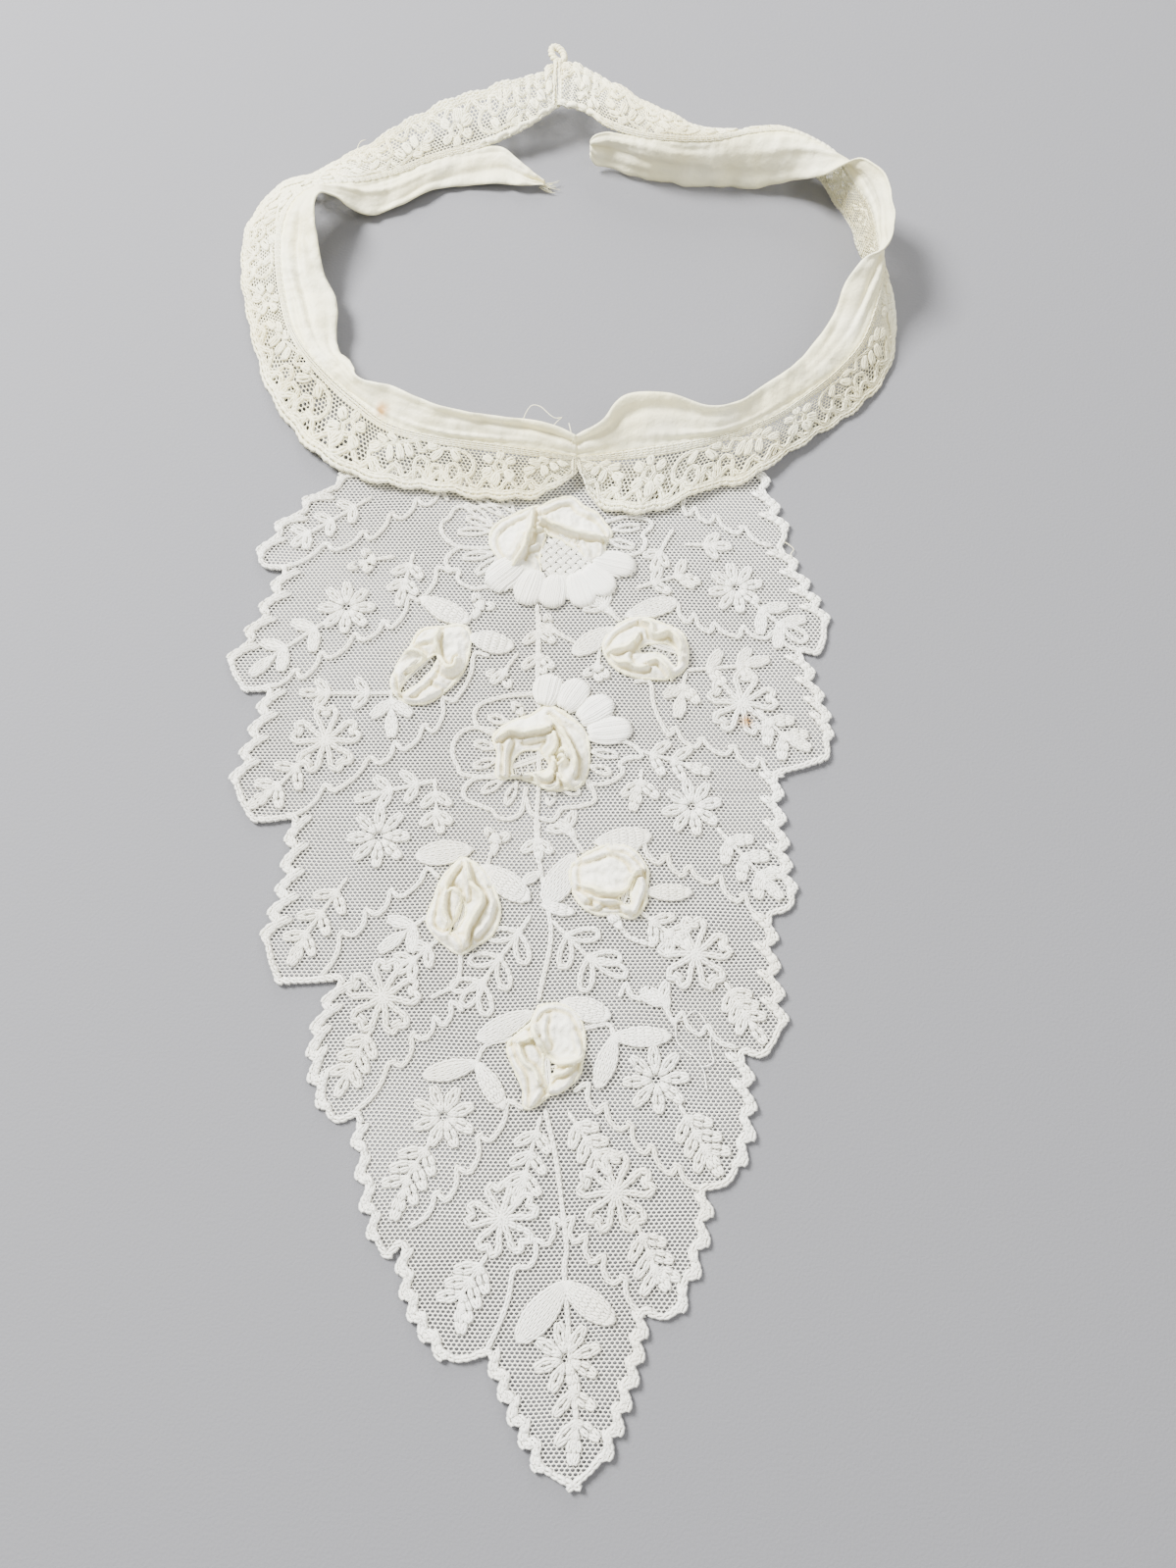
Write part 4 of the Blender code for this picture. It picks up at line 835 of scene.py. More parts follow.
# The broad leaves beside the roses are filled with close rows of chain stitch. Six padded petals fan out
# below the first rose and four over the fourth, covered with long stitches that run out to their rims.
Leaf = namedtuple("Leaf", "base tip width")
BROAD_LEAVES = (
    Leaf((-36.5, -36.4), (-25.6, -42.0), 5.0), Leaf((-24.1, -46.0), (-14.6, -48.3), 5.0),
    Leaf((13.0, -40.6), (24.4, -37.0), 4.6), Leaf((9.2, -44.2), (0.6, -50.0), 4.8),
    Leaf((-23.0, -98.4), (-34.6, -99.8), 5.4), Leaf((-19.6, -102.4), (-10.0, -109.3), 5.6),
    Leaf((6.0, -96.4), (17.2, -95.2), 5.0), Leaf((0.6, -99.6), (-5.6, -110.2), 6.0),
    Leaf((-9.0, -134.9), (-19.6, -139.9), 4.8), Leaf((-1.6, -132.8), (7.8, -135.6), 4.8),
    Leaf((-20.7, -145.3), (-31.0, -148.0), 4.0), Leaf((-20.1, -145.6), (-14.8, -154.2), 4.0),
    Leaf((9.2, -140.4), (20.8, -139.7), 4.0), Leaf((9.2, -140.6), (6.1, -150.4), 4.2),
    Leaf((-1.3, -189.8), (-10.2, -200.2), 5.6), Leaf((-0.9, -189.8), (8.7, -196.8), 5.2),
    Leaf((17.6, -108.2), (26.4, -108.2), 3.8), Leaf((-5.9, -110.9), (-0.1, -112.3), 2.7),
    Leaf((-7.4, -103.6), (-10.5, -105.4), 2.3), Leaf((8.1, -112.3), (10.7, -115.9), 2.3),
)
FAN_PETALS = (
    Leaf((-12.4, -25.6), (-20.8, -33.2), 8.0), Leaf((-9.2, -28.4), (-12.0, -37.6), 7.4),
    Leaf((-4.4, -29.6), (-5.4, -38.6), 6.8), Leaf((0.0, -29.2), (3.0, -38.4), 7.0),
    Leaf((2.6, -28.0), (9.4, -34.8), 7.0), Leaf((4.8, -25.8), (15.4, -28.2), 6.6),
    Leaf((-6.6, -63.6), (-4.6, -55.8), 7.2), Leaf((-2.2, -64.8), (2.8, -57.6), 7.2),
    Leaf((1.6, -67.6), (9.6, -62.4), 6.6), Leaf((3.4, -70.6), (14.2, -69.2), 6.6),
)
ROW_PITCH = 0.86
LEAF_FILL, LEAF_RISE = 0.56, 0.35
LEAF_STEPS, LEAF_ROW_WIDTH = 12, 1.0
FAN_PITCH = 0.42
FAN_THREAD = 0.34
FAN_RISE = 1.1
FAN_STEPS = 12
FAN_SHOULDER = 0.5
FAN_ROUND = 2.6
FAN_SEED = 11
FAN_GAPS = ((0, 0.05), (0, 0.03))
FAN_BASE, FAN_EDGE, FAN_TAPER = 0.4, 0.08, 0.3
FAN_SWAY, FAN_LOWEST, FAN_UNEVEN = 0.1, 0.1, 0.16


def tube_mesh(threads, sides=4, first=0):
    """Points and faces of round threads. Each thread is its line, and its radius at every point."""
    points, faces, count = [], [], first
    turns = 2 * math.pi * np.arange(sides)[None, :, None] / sides
    for line, radius in threads:
        line = np.asarray(line, float)
        closed = np.allclose(line[0], line[-1])
        run = np.gradient(line, axis=0)
        if closed:
            run = np.roll(line[:-1], -1, axis=0) - np.roll(line[:-1], 1, axis=0)
            line = line[:-1]
        run = one_long(run)
        across = np.cross(run, (0, 0, 1))
        across /= np.maximum(np.linalg.norm(across, axis=1), 1e-6)[:, None]
        up = np.cross(across, run)
        radii = np.broadcast_to(radius, len(line))[:, None, None]
        rings = line[:, None] + radii * (np.cos(turns) * across[:, None] + np.sin(turns) * up[:, None])
        points.append(rings.reshape(-1, 3))
        for i in range(len(line) - (0 if closed else 1)):
            a, b = count + i * sides, count + (i + 1) % len(line) * sides
            faces += [(a + j, b + j, b + (j + 1) % sides, a + (j + 1) % sides) for j in range(sides)]
        last = count + len(line) * sides
        if not closed:
            faces += [tuple(range(count, count + sides)), tuple(reversed(range(last - sides, last)))]
        count = last
    return np.concatenate(points), faces


def tubes(name, threads, finish, sides=4):
    """Round threads as one piece."""
    obj = make_object(name, *tube_mesh(threads, sides), finish)
    obj.data.shade_smooth()
    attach(obj, "root")
    return obj


def leaf_frame(leaf):
    """A leaf's base, its run out to the tip, and the way across it."""
    base, tip = np.array(leaf.base), np.array(leaf.tip)
    return base, tip - base, left_of(tip - base)


def leaf_lines(leaf, share):
    """A leaf's middle line at these shares, the way across it, and half its width there."""
    base, run, across = leaf_frame(leaf)
    half = LEAF_FILL * leaf.width * np.sin(math.pi * (0.04 + 0.9 * share) ** 1.1) ** 0.75
    return base + run * share[:, None], across, half


def leaf_fill(leaf):
    """The rows of chain stitch that fill a broad leaf from side to side."""
    rows = []
    count = max(2, round(leaf.width / ROW_PITCH))
    for k in range(count):
        off = ((k + 0.5) / count * 2 - 1) * (1 - 0.32 / count)
        share = np.linspace(0.02 + 0.08 * off**2, 0.97 - 0.1 * off**2, LEAF_STEPS)
        middle, across, half = leaf_lines(leaf, share)
        swell = np.sqrt(np.clip(1 - off**2, 0, 1)) * np.sin(math.pi * np.clip(share, 0.05, 0.95)) ** 0.5
        place = middle + across * (half * off)[:, None]
        rows.append((np.column_stack((place, LEAF_RISE * swell)), LEAF_ROW_WIDTH))
    return rows


def fan_threads(leaf, chance):
    """The long stitches of one fan petal, spreading from its base to its round rim."""
    base, run, across = leaf_frame(leaf)
    count = max(4, round(leaf.width / FAN_PITCH))
    threads = []
    for k in range(count):
        off = (k + 0.5) / count * 2 - 1
        rim = FAN_SHOULDER + (1 - FAN_SHOULDER) * math.sqrt(1 - abs(off) ** FAN_ROUND)
        base_gap, rim_gap = (chance.uniform(*gap) for gap in FAN_GAPS)
        share = np.linspace(base_gap, rim - rim_gap, FAN_STEPS)
        spread = np.clip(share / FAN_SHOULDER, 0, 1)
        half = 0.5 * leaf.width * (FAN_BASE + (1 - FAN_BASE) * spread * (2 - spread))
        sway = half * off + chance.uniform(-FAN_SWAY, FAN_SWAY)
        place = base + run * share[:, None] + across * sway[:, None]
        ends = np.sqrt(np.clip(np.minimum(share + 0.05, rim - share + 0.01) * 7, 0, 1))
        swell = FAN_EDGE + (1 - FAN_EDGE) * math.sqrt(max(0.0, 1 - off**2))
        height = FAN_LOWEST + FAN_RISE * swell * ends + chance.uniform(0, FAN_UNEVEN)
        threads.append((np.column_stack((place, height)), FAN_THREAD * (1 - FAN_TAPER + FAN_TAPER * ends)))
    return threads


filled_leaves = [row for leaf in BROAD_LEAVES for row in leaf_fill(leaf)]
leaf_work = sewn("bib_leaves", filled_leaves, work_cotton, seed=13, change=settled)
chance = random.Random(FAN_SEED)
fans = tubes("bib_fans", [t for leaf in FAN_PETALS for t in fan_threads(leaf, chance)], work_cotton, sides=6)
reshape(fans, settled)


# The eye of each rose is left open on the net. Drawn threads cross most of them, and the first rose
# arches over a patch of coarse darned basket weave.
Eye = namedtuple("Eye", "middle width length turn")
SLOT_EYES = (
    Eye((-37.2, -54.6), 2.6, 9.6, -42), Eye((21.4, -48.6), 8.2, 2.8, -18),
    Eye((-10.4, -77.0), 7.4, 4.2, 18), Eye((-25.2, -114.0), 1.8, 7.4, -14),
    Eye((12.4, -108.0), 2.8, 5.4, -20), Eye((-4.8, -147.2), 2.0, 7.6, 6),
)
WEAVE_MIDDLE = np.array((-1.8, -25.0))
WEAVE_RADIUS = 6.6
WEAVE_PITCH = 1.75
WEAVE_STRANDS = (-0.42, 0.0, 0.42)
WEAVE_HEIGHT, WEAVE_RISE = 0.35, 0.3
WEAVE_THREAD, DRAWN_THREAD, CROSS_THREAD = 0.23, 0.169, 0.13
WEAVE_SLANTS = (40, -50)
DRAWN_PLACES = (-0.55, -0.2, 0.25, 0.6)
DRAWN_PAST, CROSS_PAST = 1.2, 0.8
DRAWN_IN, CROSS_LEAN = 0.4, 0.35
CROSS_PITCH = 1.5
DRAWN_HEIGHT, CROSS_HEIGHT = 0.35, 0.22


def weave_threads():
    """Bands of threads at both slants, each passing over and under the bands that it meets."""
    threads = []
    bands = int(WEAVE_RADIUS / WEAVE_PITCH)
    for slant, phase in zip(WEAVE_SLANTS, (0.0, math.pi)):
        along = way_out(math.radians(slant))
        across = left_of(along)
        for band in range(-bands, bands + 1):
            for strand in WEAVE_STRANDS:
                off = band * WEAVE_PITCH + strand
                reach = math.sqrt(max(0.5, WEAVE_RADIUS**2 - off**2))
                run = np.arange(-reach, reach + 0.01, WEAVE_PITCH / 5)
                place = WEAVE_MIDDLE + off * across + run[:, None] * along
                turn = math.pi * run / WEAVE_PITCH + math.pi * band + phase
                height = WEAVE_HEIGHT + WEAVE_RISE * np.cos(turn)
                threads.append((np.column_stack((place, height)), WEAVE_THREAD))
    return threads


def raised(place, height):
    """Places on the net, this high over it."""
    return np.pad(place, ((0, 0), (0, 1)), constant_values=height)


def drawn_threads(eye):
    """Threads laid along an eye, and a few shorter ones across it."""
    long_way = math.radians(eye.turn + (90 if eye.length > eye.width else 0))
    along = way_out(long_way)
    across = left_of(along)
    half_long = max(eye.width, eye.length) / 2 + DRAWN_PAST
    half_short = min(eye.width, eye.length) / 2 + CROSS_PAST
    threads = []
    for off in DRAWN_PLACES:
        run = np.linspace(-half_long, half_long, 7)
        sway = off * (1 - DRAWN_IN * (run / half_long) ** 2)
        place = np.array(eye.middle) + run[:, None] * along + sway[:, None] * across
        threads.append((raised(place, DRAWN_HEIGHT), DRAWN_THREAD))
    for off in np.arange(-half_long + 1.4, half_long - 1, CROSS_PITCH):
        run = np.linspace(-half_short, half_short, 4)
        sway = off + CROSS_LEAN * run / half_short
        place = np.array(eye.middle) + run[:, None] * across + sway[:, None] * along
        threads.append((raised(place, CROSS_HEIGHT), CROSS_THREAD))
    return threads


eye_threads = weave_threads() + [thread for eye in SLOT_EYES for thread in drawn_threads(eye)]
eye_work = tubes("bib_eyes", eye_threads, work_cotton)
reshape(eye_work, settled)


# Each rose is a strip of fine ivory muslin, gathered and caught down in folds round its eye. Both its
# edges are turned under and sewn to the net. The first one is an open arch, the rest are rings.
Fold = namedtuple("Fold", "rise path")
Rose = namedtuple("Rose", "outer inner folds")
ROSES = (
    Rose(
        outer=(
            (-16.5, -27.5), (-20, -22.5), (-20.5, -18.5), (-18.5, -15.5), (-15, -13.5), (-12, -12),
            (-9.5, -11), (-8, -11), (-5, -9.5), (-0.5, -8.5), (2.5, -11), (6, -13), (8, -16), (9.5, -18.5),
            (8, -21.5), (7.5, -25), (4.5, -26.5),
        ),
        inner=(
            (-7.5, -31.5), (-8, -25.5), (-7, -20), (-7, -17.5), (-6, -19), (-3, -20.5), (0.5, -23),
            (2, -24), (3.5, -26),
        ),
        folds=(
            Fold(0.8, ((-16, -28), (-19, -23.5), (-19.5, -20), (-18, -17.5), (-14.5, -15), (-10, -13))),
            Fold(1.3, ((-10, -12.5), (-10.5, -18.5), (-11.5, -21.5), (-12.5, -25), (-15, -28))),
            Fold(0.6, ((-12.5, -20), (-14, -23.5), (-16, -27))),
            Fold(0.8, ((-7.5, -13), (-4.5, -11.5), (-0.5, -10.5), (2, -13), (6, -15), (8, -17.5),
                 (9, -19.5))),
            Fold(1.4, ((-7.5, -16), (-3, -18), (1, -19.5), (6, -20.5), (8.5, -20.5))),
            Fold(0.9, ((-9.5, -17), (-7, -16), (-3.5, -18), (0.5, -20.5))),
            Fold(1.0, ((-10.5, -21), (-10, -18.5), (-8, -17.5))),
            Fold(0.9, ((-12.5, -25.5), (-11.5, -23.5), (-9, -22.5))),
            Fold(0.9, ((-9, -26), (-8, -29.5), (-7.5, -32.5))),
            Fold(0.9, ((2, -21), (3, -24.5), (4.5, -26.5), (7, -25), (7, -22.5), (6, -21))),
        ),
    ),
    Rose(
        outer=(
            (-31.5, -43.5), (-25.5, -43.5), (-24.5, -49), (-26, -55), (-29.5, -59.5), (-34.5, -63),
            (-40, -62.5), (-43, -58.5), (-42, -54), (-39, -49), (-36.5, -44.5),
        ),
        inner=(
            (-32, -51), (-32, -51.5), (-33.5, -54.5), (-36.5, -58), (-40.5, -60.5), (-40, -58), (-37, -54),
            (-33.5, -51),
        ),
        folds=(
            Fold(1.3, ((-39, -55), (-37, -53.5), (-35.5, -52), (-36, -51), (-38.5, -50.5), (-40.5, -52))),
            Fold(1.5, ((-32, -45), (-32.5, -48), (-32, -51), (-31, -53), (-29.5, -55), (-28, -54.5),
                 (-27.5, -52.5))),
            Fold(0.7, ((-25.5, -45), (-24.5, -47.5), (-24.5, -52), (-26, -55))),
            Fold(0.6, ((-31.5, -54.5), (-29.5, -56), (-27.5, -55.5), (-25.5, -53))),
            Fold(0.6, ((-32.5, -58), (-30.5, -59), (-29, -60))),
            Fold(0.8, ((-38.5, -63), (-36, -63), (-33.5, -62), (-31, -60.5))),
            Fold(0.7, ((-32, -54), (-33.5, -57), (-35.5, -59), (-37.5, -61))),
            Fold(0.8, ((-42.5, -57), (-42, -60.5), (-41, -62.5))),
            Fold(0.7, ((-37.5, -55.5), (-39.5, -58.5), (-41, -61))),
            Fold(0.6, ((-36, -45.5), (-37, -48), (-35, -47.5), (-33, -47.5))),
        ),
    ),
    Rose(
        outer=(
            (16, -41), (21, -42.5), (26, -45), (27.5, -50), (26.5, -54.5), (22, -57), (15.5, -56.5),
            (10.5, -54.5), (7.5, -50.5), (7.5, -46.5), (11.5, -42.5),
        ),
        inner=(
            (19, -48), (22.5, -48), (25, -50.5), (24.5, -54), (21, -50.5), (16.5, -50.5), (16, -49),
            (18, -48),
        ),
        folds=(
            Fold(1.2, ((8, -50.5), (10.5, -50), (13.5, -49), (15.5, -46.5))),
            Fold(0.7, ((7.5, -48.5), (9.5, -45.5), (13.5, -43), (16, -42))),
            Fold(1.4, ((16.5, -42.5), (18.5, -43.5), (19, -46), (21, -46), (23, -45.5), (24.5, -47),
                 (25.5, -49), (25.5, -52))),
            Fold(1.2, ((9, -51), (10.5, -53), (13, -53.5), (15, -54.5), (17.5, -54.5))),
            Fold(0.8, ((14, -48.5), (13, -51.5), (13.5, -53))),
            Fold(1.0, ((18, -53), (20, -52.5), (21.5, -54), (23, -56), (23.5, -57.5))),
            Fold(0.7, ((8.5, -53), (11.5, -55.5), (15, -56.5), (19, -57), (22, -57.5))),
            Fold(0.7, ((25.5, -46), (26.5, -48.5), (27, -52))),
        ),
    ),
    Rose(
        outer=(
            (-5.5, -63.5), (-1.5, -65.5), (3, -70), (4, -76.5), (2.5, -82.5), (-1.5, -84), (-5.5, -84),
            (-8.5, -82.5), (-13, -81), (-17.5, -81), (-17.5, -75), (-18.5, -71), (-14.5, -67.5), (-10, -66),
            (-7, -64),
        ),
        inner=(
            (-7.5, -75), (-5.5, -78), (-6.5, -79.5), (-9, -80), (-13, -81), (-14, -78), (-12, -75),
            (-8.5, -74.5),
        ),
        folds=(
            Fold(1.6, ((-17, -72), (-14.5, -70.5), (-11.5, -71), (-8.5, -70.5), (-5.5, -70))),
            Fold(1.3, ((-4.5, -70.5), (-4, -72.5), (-4, -74.5), (-5.5, -76.5))),
            Fold(0.9, ((-11, -72.5), (-8.5, -72), (-6, -71.5), (-5.5, -73), (-6.5, -74.5))),
            Fold(0.8, ((-17, -73.5), (-17, -77), (-17, -81))),
            Fold(0.9, ((-14.5, -73), (-15.5, -76), (-15.5, -79.5), (-15.5, -81.5))),
            Fold(0.8, ((-5, -64.5), (-2, -67), (1.5, -69), (3.5, -71.5), (4, -74.5), (3.5, -78), (3, -81.5))),
            Fold(1.8, ((-5.5, -67), (-3, -70), (-1.5, -72.5), (-0.5, -74.5), (0.5, -77), (0.5, -80.5))),
            Fold(1.2, ((-3.5, -77), (-3, -76.5), (-2, -77), (-2, -77.5), (-3, -78.5), (-4, -78),
                 (-4.5, -77), (-3.5, -75.5), (-2, -75), (-1, -76.5))),
            Fold(1.1, ((-11, -81), (-9, -81), (-7.5, -83), (-5.5, -84), (-3.5, -83.5), (-3.5, -81.5))),
            Fold(1.3, ((-8.5, -80.5), (-6.5, -82), (-5, -81.5), (-4.5, -79.5), (-4.5, -77))),
            Fold(1.1, ((-3.5, -80.5), (-2, -82.5), (0.5, -84), (2.5, -82))),
        ),
    ),
    Rose(
        outer=(
            (-24.5, -100), (-20.5, -102.5), (-17.5, -107), (-16, -112.5), (-17.5, -117.5), (-21, -120),
            (-24.5, -122), (-27.5, -120.5), (-30.5, -118), (-32.5, -114.5), (-31, -109.5), (-29.5, -105),
            (-26, -101),
        ),
        inner=(
            (-25, -109.5), (-24, -111), (-24, -113.5), (-25.5, -116), (-27, -117.5), (-27, -116),
            (-26, -114.5), (-25, -112.5), (-25, -110),
        ),
        folds=(
            Fold(1.2, ((-25.5, -102), (-27, -104), (-28, -106.5), (-28.5, -109.5), (-28.5, -112.5),
                 (-27.5, -115))),
            Fold(1.0, ((-28, -108.5), (-27, -107.5), (-26, -108), (-25, -109.5), (-25.5, -112), (-26, -114),
                 (-27, -115.5))),
            Fold(1.6, ((-24, -101), (-23.5, -103.5), (-22.5, -106.5), (-20.5, -108.5), (-20, -110.5),
                 (-21, -112.5), (-22, -114.5), (-23, -116.5), (-23.5, -120))),
            Fold(0.8, ((-23.5, -104.5), (-23.5, -106.5), (-23.5, -109.5))),
            Fold(0.8, ((-18.5, -108), (-17.5, -110.5), (-18, -113), (-19, -115.5), (-21, -118))),
            Fold(0.7, ((-26.5, -118.5), (-25.5, -120), (-25, -121.5))),
            Fold(0.7, ((-24.5, -118.5), (-23.5, -120), (-24, -122))),
            Fold(0.9, ((-30.5, -108), (-31, -111.5), (-31.5, -115), (-30.5, -117), (-28.5, -118),
                 (-26.5, -117))),
            Fold(0.7, ((-21.5, -101.5), (-19, -105), (-17.5, -108), (-16.5, -111))),
        ),
    ),
    Rose(
        outer=(
            (8.5, -97), (13.5, -98), (17, -102.5), (17, -106.5), (16.5, -111), (13.5, -114), (9.5, -113),
            (5.5, -113), (2, -111), (0, -107.5), (-0.5, -102.5), (2.5, -99.5), (6.5, -97.5),
        ),
        inner=(
            (13.5, -105.5), (14.5, -105), (13, -107.5), (13.5, -110.5), (12, -111), (10.5, -109.5),
            (11.5, -108.5), (13, -107), (13.5, -105.5),
        ),
        folds=(
            Fold(1.6, ((2.5, -107), (4.5, -107.5), (6.5, -108.5), (9.5, -108.5), (11, -108), (12.5, -107),
                 (13, -105.5), (14, -104), (15.5, -103.5))),
            Fold(0.9, ((1, -101), (0.5, -104), (1, -107))),
            Fold(0.9, ((1, -101), (5, -100), (8, -99), (11, -99.5), (13.5, -101.5), (14, -103))),
            Fold(0.7, ((9, -98), (12.5, -98.5), (14.5, -100), (16.5, -102), (17, -104))),
            Fold(0.9, ((3.5, -110), (4.5, -109), (6.5, -110), (8.5, -110.5), (10.5, -110))),
            Fold(0.9, ((5, -112), (7, -110.5), (9, -111), (11, -111), (12, -112.5))),
            Fold(0.8, ((1.5, -108.5), (3, -110), (4, -112))),
            Fold(0.8, ((15.5, -104.5), (16, -107), (15, -110), (14, -112.5))),
        ),
    ),
    Rose(
        outer=(
            (-6.5, -133), (-2, -133), (1.5, -135.5), (3, -140), (2.5, -145), (1.5, -148.5), (-2, -151.5),
            (-5, -152.5), (-7, -154), (-10, -155), (-10.5, -151), (-12.5, -146.5), (-14, -142),
            (-11.5, -139), (-9, -137), (-7.5, -134),
        ),
        inner=(
            (-6, -143), (-3.5, -145), (-3.5, -147), (-4.5, -149.5), (-5, -151.5), (-5.5, -149.5),
            (-6, -147), (-6, -144.5),
        ),
        folds=(
            Fold(1.6, ((-8.5, -137), (-8, -139.5), (-6.5, -142), (-5, -144), (-3, -145.5), (-0.5, -145.5),
                 (1.5, -145), (2.5, -143.5))),
            Fold(1.0, ((-11.5, -141.5), (-11, -143.5), (-10, -145.5), (-8, -147), (-7, -149.5))),
            Fold(1.0, ((-11.5, -141), (-9.5, -140.5), (-8, -140))),
            Fold(0.8, ((-8, -136), (-6, -134), (-3, -133.5), (0, -134.5), (1.5, -136.5), (2.5, -139))),
            Fold(0.6, ((1, -139.5), (1.5, -141.5), (2, -143.5))),
            Fold(1.1, ((-4.5, -149), (-3.5, -148), (-1.5, -147.5), (0.5, -146))),
            Fold(0.7, ((-5, -151), (-3.5, -151.5), (-2, -151), (0, -149.5))),
            Fold(0.8, ((-13.5, -142.5), (-12, -146), (-10.5, -148), (-10, -151), (-10, -154))),
            Fold(0.8, ((-6, -149), (-6, -151), (-7, -152), (-8.5, -154.5))),
            Fold(0.7, ((-5.5, -135.5), (-6, -139), (-5, -142))),
        ),
    ),
)
ROSE_HEIGHTS = (2.4, 2.3, 2.3, 2.8, 2.4, 2.4, 2.5)
ROSE_STATIONS = 150
ROSE_SHARES = 32
ROSE_FOOT = 0.35
ROSE_PUFF = 0.75
ROSE_TUCK, ROSE_FLOOR = 0.5, 0.6
GENTLE_SIDE, STEEP_SIDE = 0.95, 0.45
SLIT = 0.75
SLIT_PLACE, SLIT_WIDTH = 0.95, 0.42
# A fainter painted shade behind each fold's gentle side, besides the painted shade in its slit
BACK_SHADE, BACK_PLACE, BACK_WIDTH = 0.5, -0.95, 0.4
STEEP_WAY = np.array((0.6, -0.8))
Wrinkle = namedtuple("Wrinkle", "pitch way rise")
WRINKLES = (
    Wrinkle(3.7, 20, 0.14), Wrinkle(2.6, 75, 0.12), Wrinkle(4.6, 130, 0.14), Wrinkle(1.7, 160, 0.08),
    Wrinkle(1.3, 45, 0.05),
)
OUTER_HEM, INNER_HEM = 0.46, 0.34
OUTER_TURN, INNER_TURN = 0.25, 0.2
ROLL = 0.44
ROLL_SWELL = 0.18
ROLLED_RISE = 1.0
RIM_STEP, FOLD_STEP = 0.3, 0.5
BODY_SHARE, FOLD_SHARE = 0.6, 1.15
ARCH_SLOPE = 14
# Colour of the painted shadow in the roses' slits and under their turned edges
PAINTED_SHADOW = (0.74, 0.66, 0.40)
THIN_SHADES = ((0.87, 0.85, 0.72), (0.94, 0.92, 0.80))
DOUBLED_SHADES = ((0.92, 0.86, 0.54), (0.96, 0.93, 0.66))


def line_length(line):
    """The length of a line of points."""
    return np.linalg.norm(np.diff(line, axis=0), axis=1).sum()


def even_steps(line, count):
    """This many points at even steps along a line. Its first three columns say where it is."""
    steps = np.linalg.norm(np.diff(line[:, :3], axis=0), axis=1)
    length = np.concatenate(([0], np.cumsum(steps)))
    wanted = np.linspace(0, length[-1], count)
    return np.stack([np.interp(wanted, length, column) for column in line.T], axis=1)


def round_line(points, count):
    """Even steps round a smooth closed line through the points."""
    line = smooth_line([*points[-3:], *points, *points[:3]], RIM_STEP)
    half_way = len(line) // 2
    first = np.argmin(np.linalg.norm(line[:half_way] - points[0], axis=1))
    last = half_way + np.argmin(np.linalg.norm(line[half_way:] - points[0], axis=1))
    return even_steps(line[first : last + 1], count + 1)[:-1]


def signed_distance(points, line):
    """Distance from each point to a line, below zero on the line's left."""
    best, sign = np.full(len(points), np.inf), np.ones(len(points))
    for a, b in zip(line, line[1:]):
        offset = offsets(points, a, b)
        reach = np.linalg.norm(offset, axis=1)
        closer = reach < best
        best = np.where(closer, reach, best)
        sign = np.where(closer, np.sign(offset @ -left_of(b - a)), sign)
    return best * sign


def bell(off, place, width):
    """A smooth rise to one round a place, and down again."""
    return np.exp(-(((off - place) / width) ** 2))


def fold_shape(points, fold):
    """Lift and painted shade of one fold, gentle on one side and dropping steeply to a slit on the other. The
    painted shade lies in the slit, and more faintly behind the gentle side.
    """
    line = smooth_line(fold.path, FOLD_STEP)
    run = line[-1] - line[0]
    way = np.sign(np.array((run[1], -run[0])) @ STEEP_WAY) or 1.0
    off = way * signed_distance(points, line)
    slit = bell(off, SLIT_PLACE, SLIT_WIDTH)
    lift = np.where(off < 0, bell(off, 0, GENTLE_SIDE), bell(off, 0, STEEP_SIDE) - SLIT * slit)
    return fold.rise * lift, slit + BACK_SHADE * bell(off, BACK_PLACE, BACK_WIDTH)


def wrinkled(flat):
    """Small soft wrinkles that run every way over the muslin."""
    lift = np.zeros(flat.shape[:-1])
    for wrinkle in WRINKLES:
        way = math.radians(wrinkle.way)
        run = flat[..., 0] * math.cos(way) + flat[..., 1] * math.sin(way)
        side = flat[..., 1] * math.cos(way) - flat[..., 0] * math.sin(way)
        wander = 1.8 * np.sin(side / wrinkle.pitch * 2.1)
        lift += wrinkle.rise * np.sin(2 * math.pi * run / wrinkle.pitch + wander)
    return lift


def rolled(line, radius, height):
    """A rolled edge along a line at these heights, thinner at its ends unless it is closed."""
    if np.allclose(line[0], line[-1]):
        size = np.full(len(line) - 1, radius)
    else:
        from_ends = np.sin(math.pi * np.linspace(0.03, 0.97, len(line)))
        size = radius * np.sqrt(np.clip(from_ends * 2.2, 0.1, 1))
    step = np.arange(len(size))
    swell = 1 + ROLL_SWELL * np.sin(step * 1.9 + 3 * np.sin(step / 2.3))
    return np.column_stack((line, height)), size * swell


def rose_rims(rose, closed):
    """Even points along the outer and the inner rim. A ring's rims start side by side."""
    if not closed:
        return [even_steps(smooth_line(rim, RIM_STEP), ROSE_STATIONS) for rim in (rose.outer, rose.inner)]
    outer, inner = (round_line(rim, ROSE_STATIONS) for rim in (rose.outer, rose.inner))
    misfits = [np.sum((np.roll(inner, k, axis=0) - outer) ** 2) for k in range(ROSE_STATIONS)]
    return outer, np.roll(inner, int(np.argmin(misfits)), axis=0)


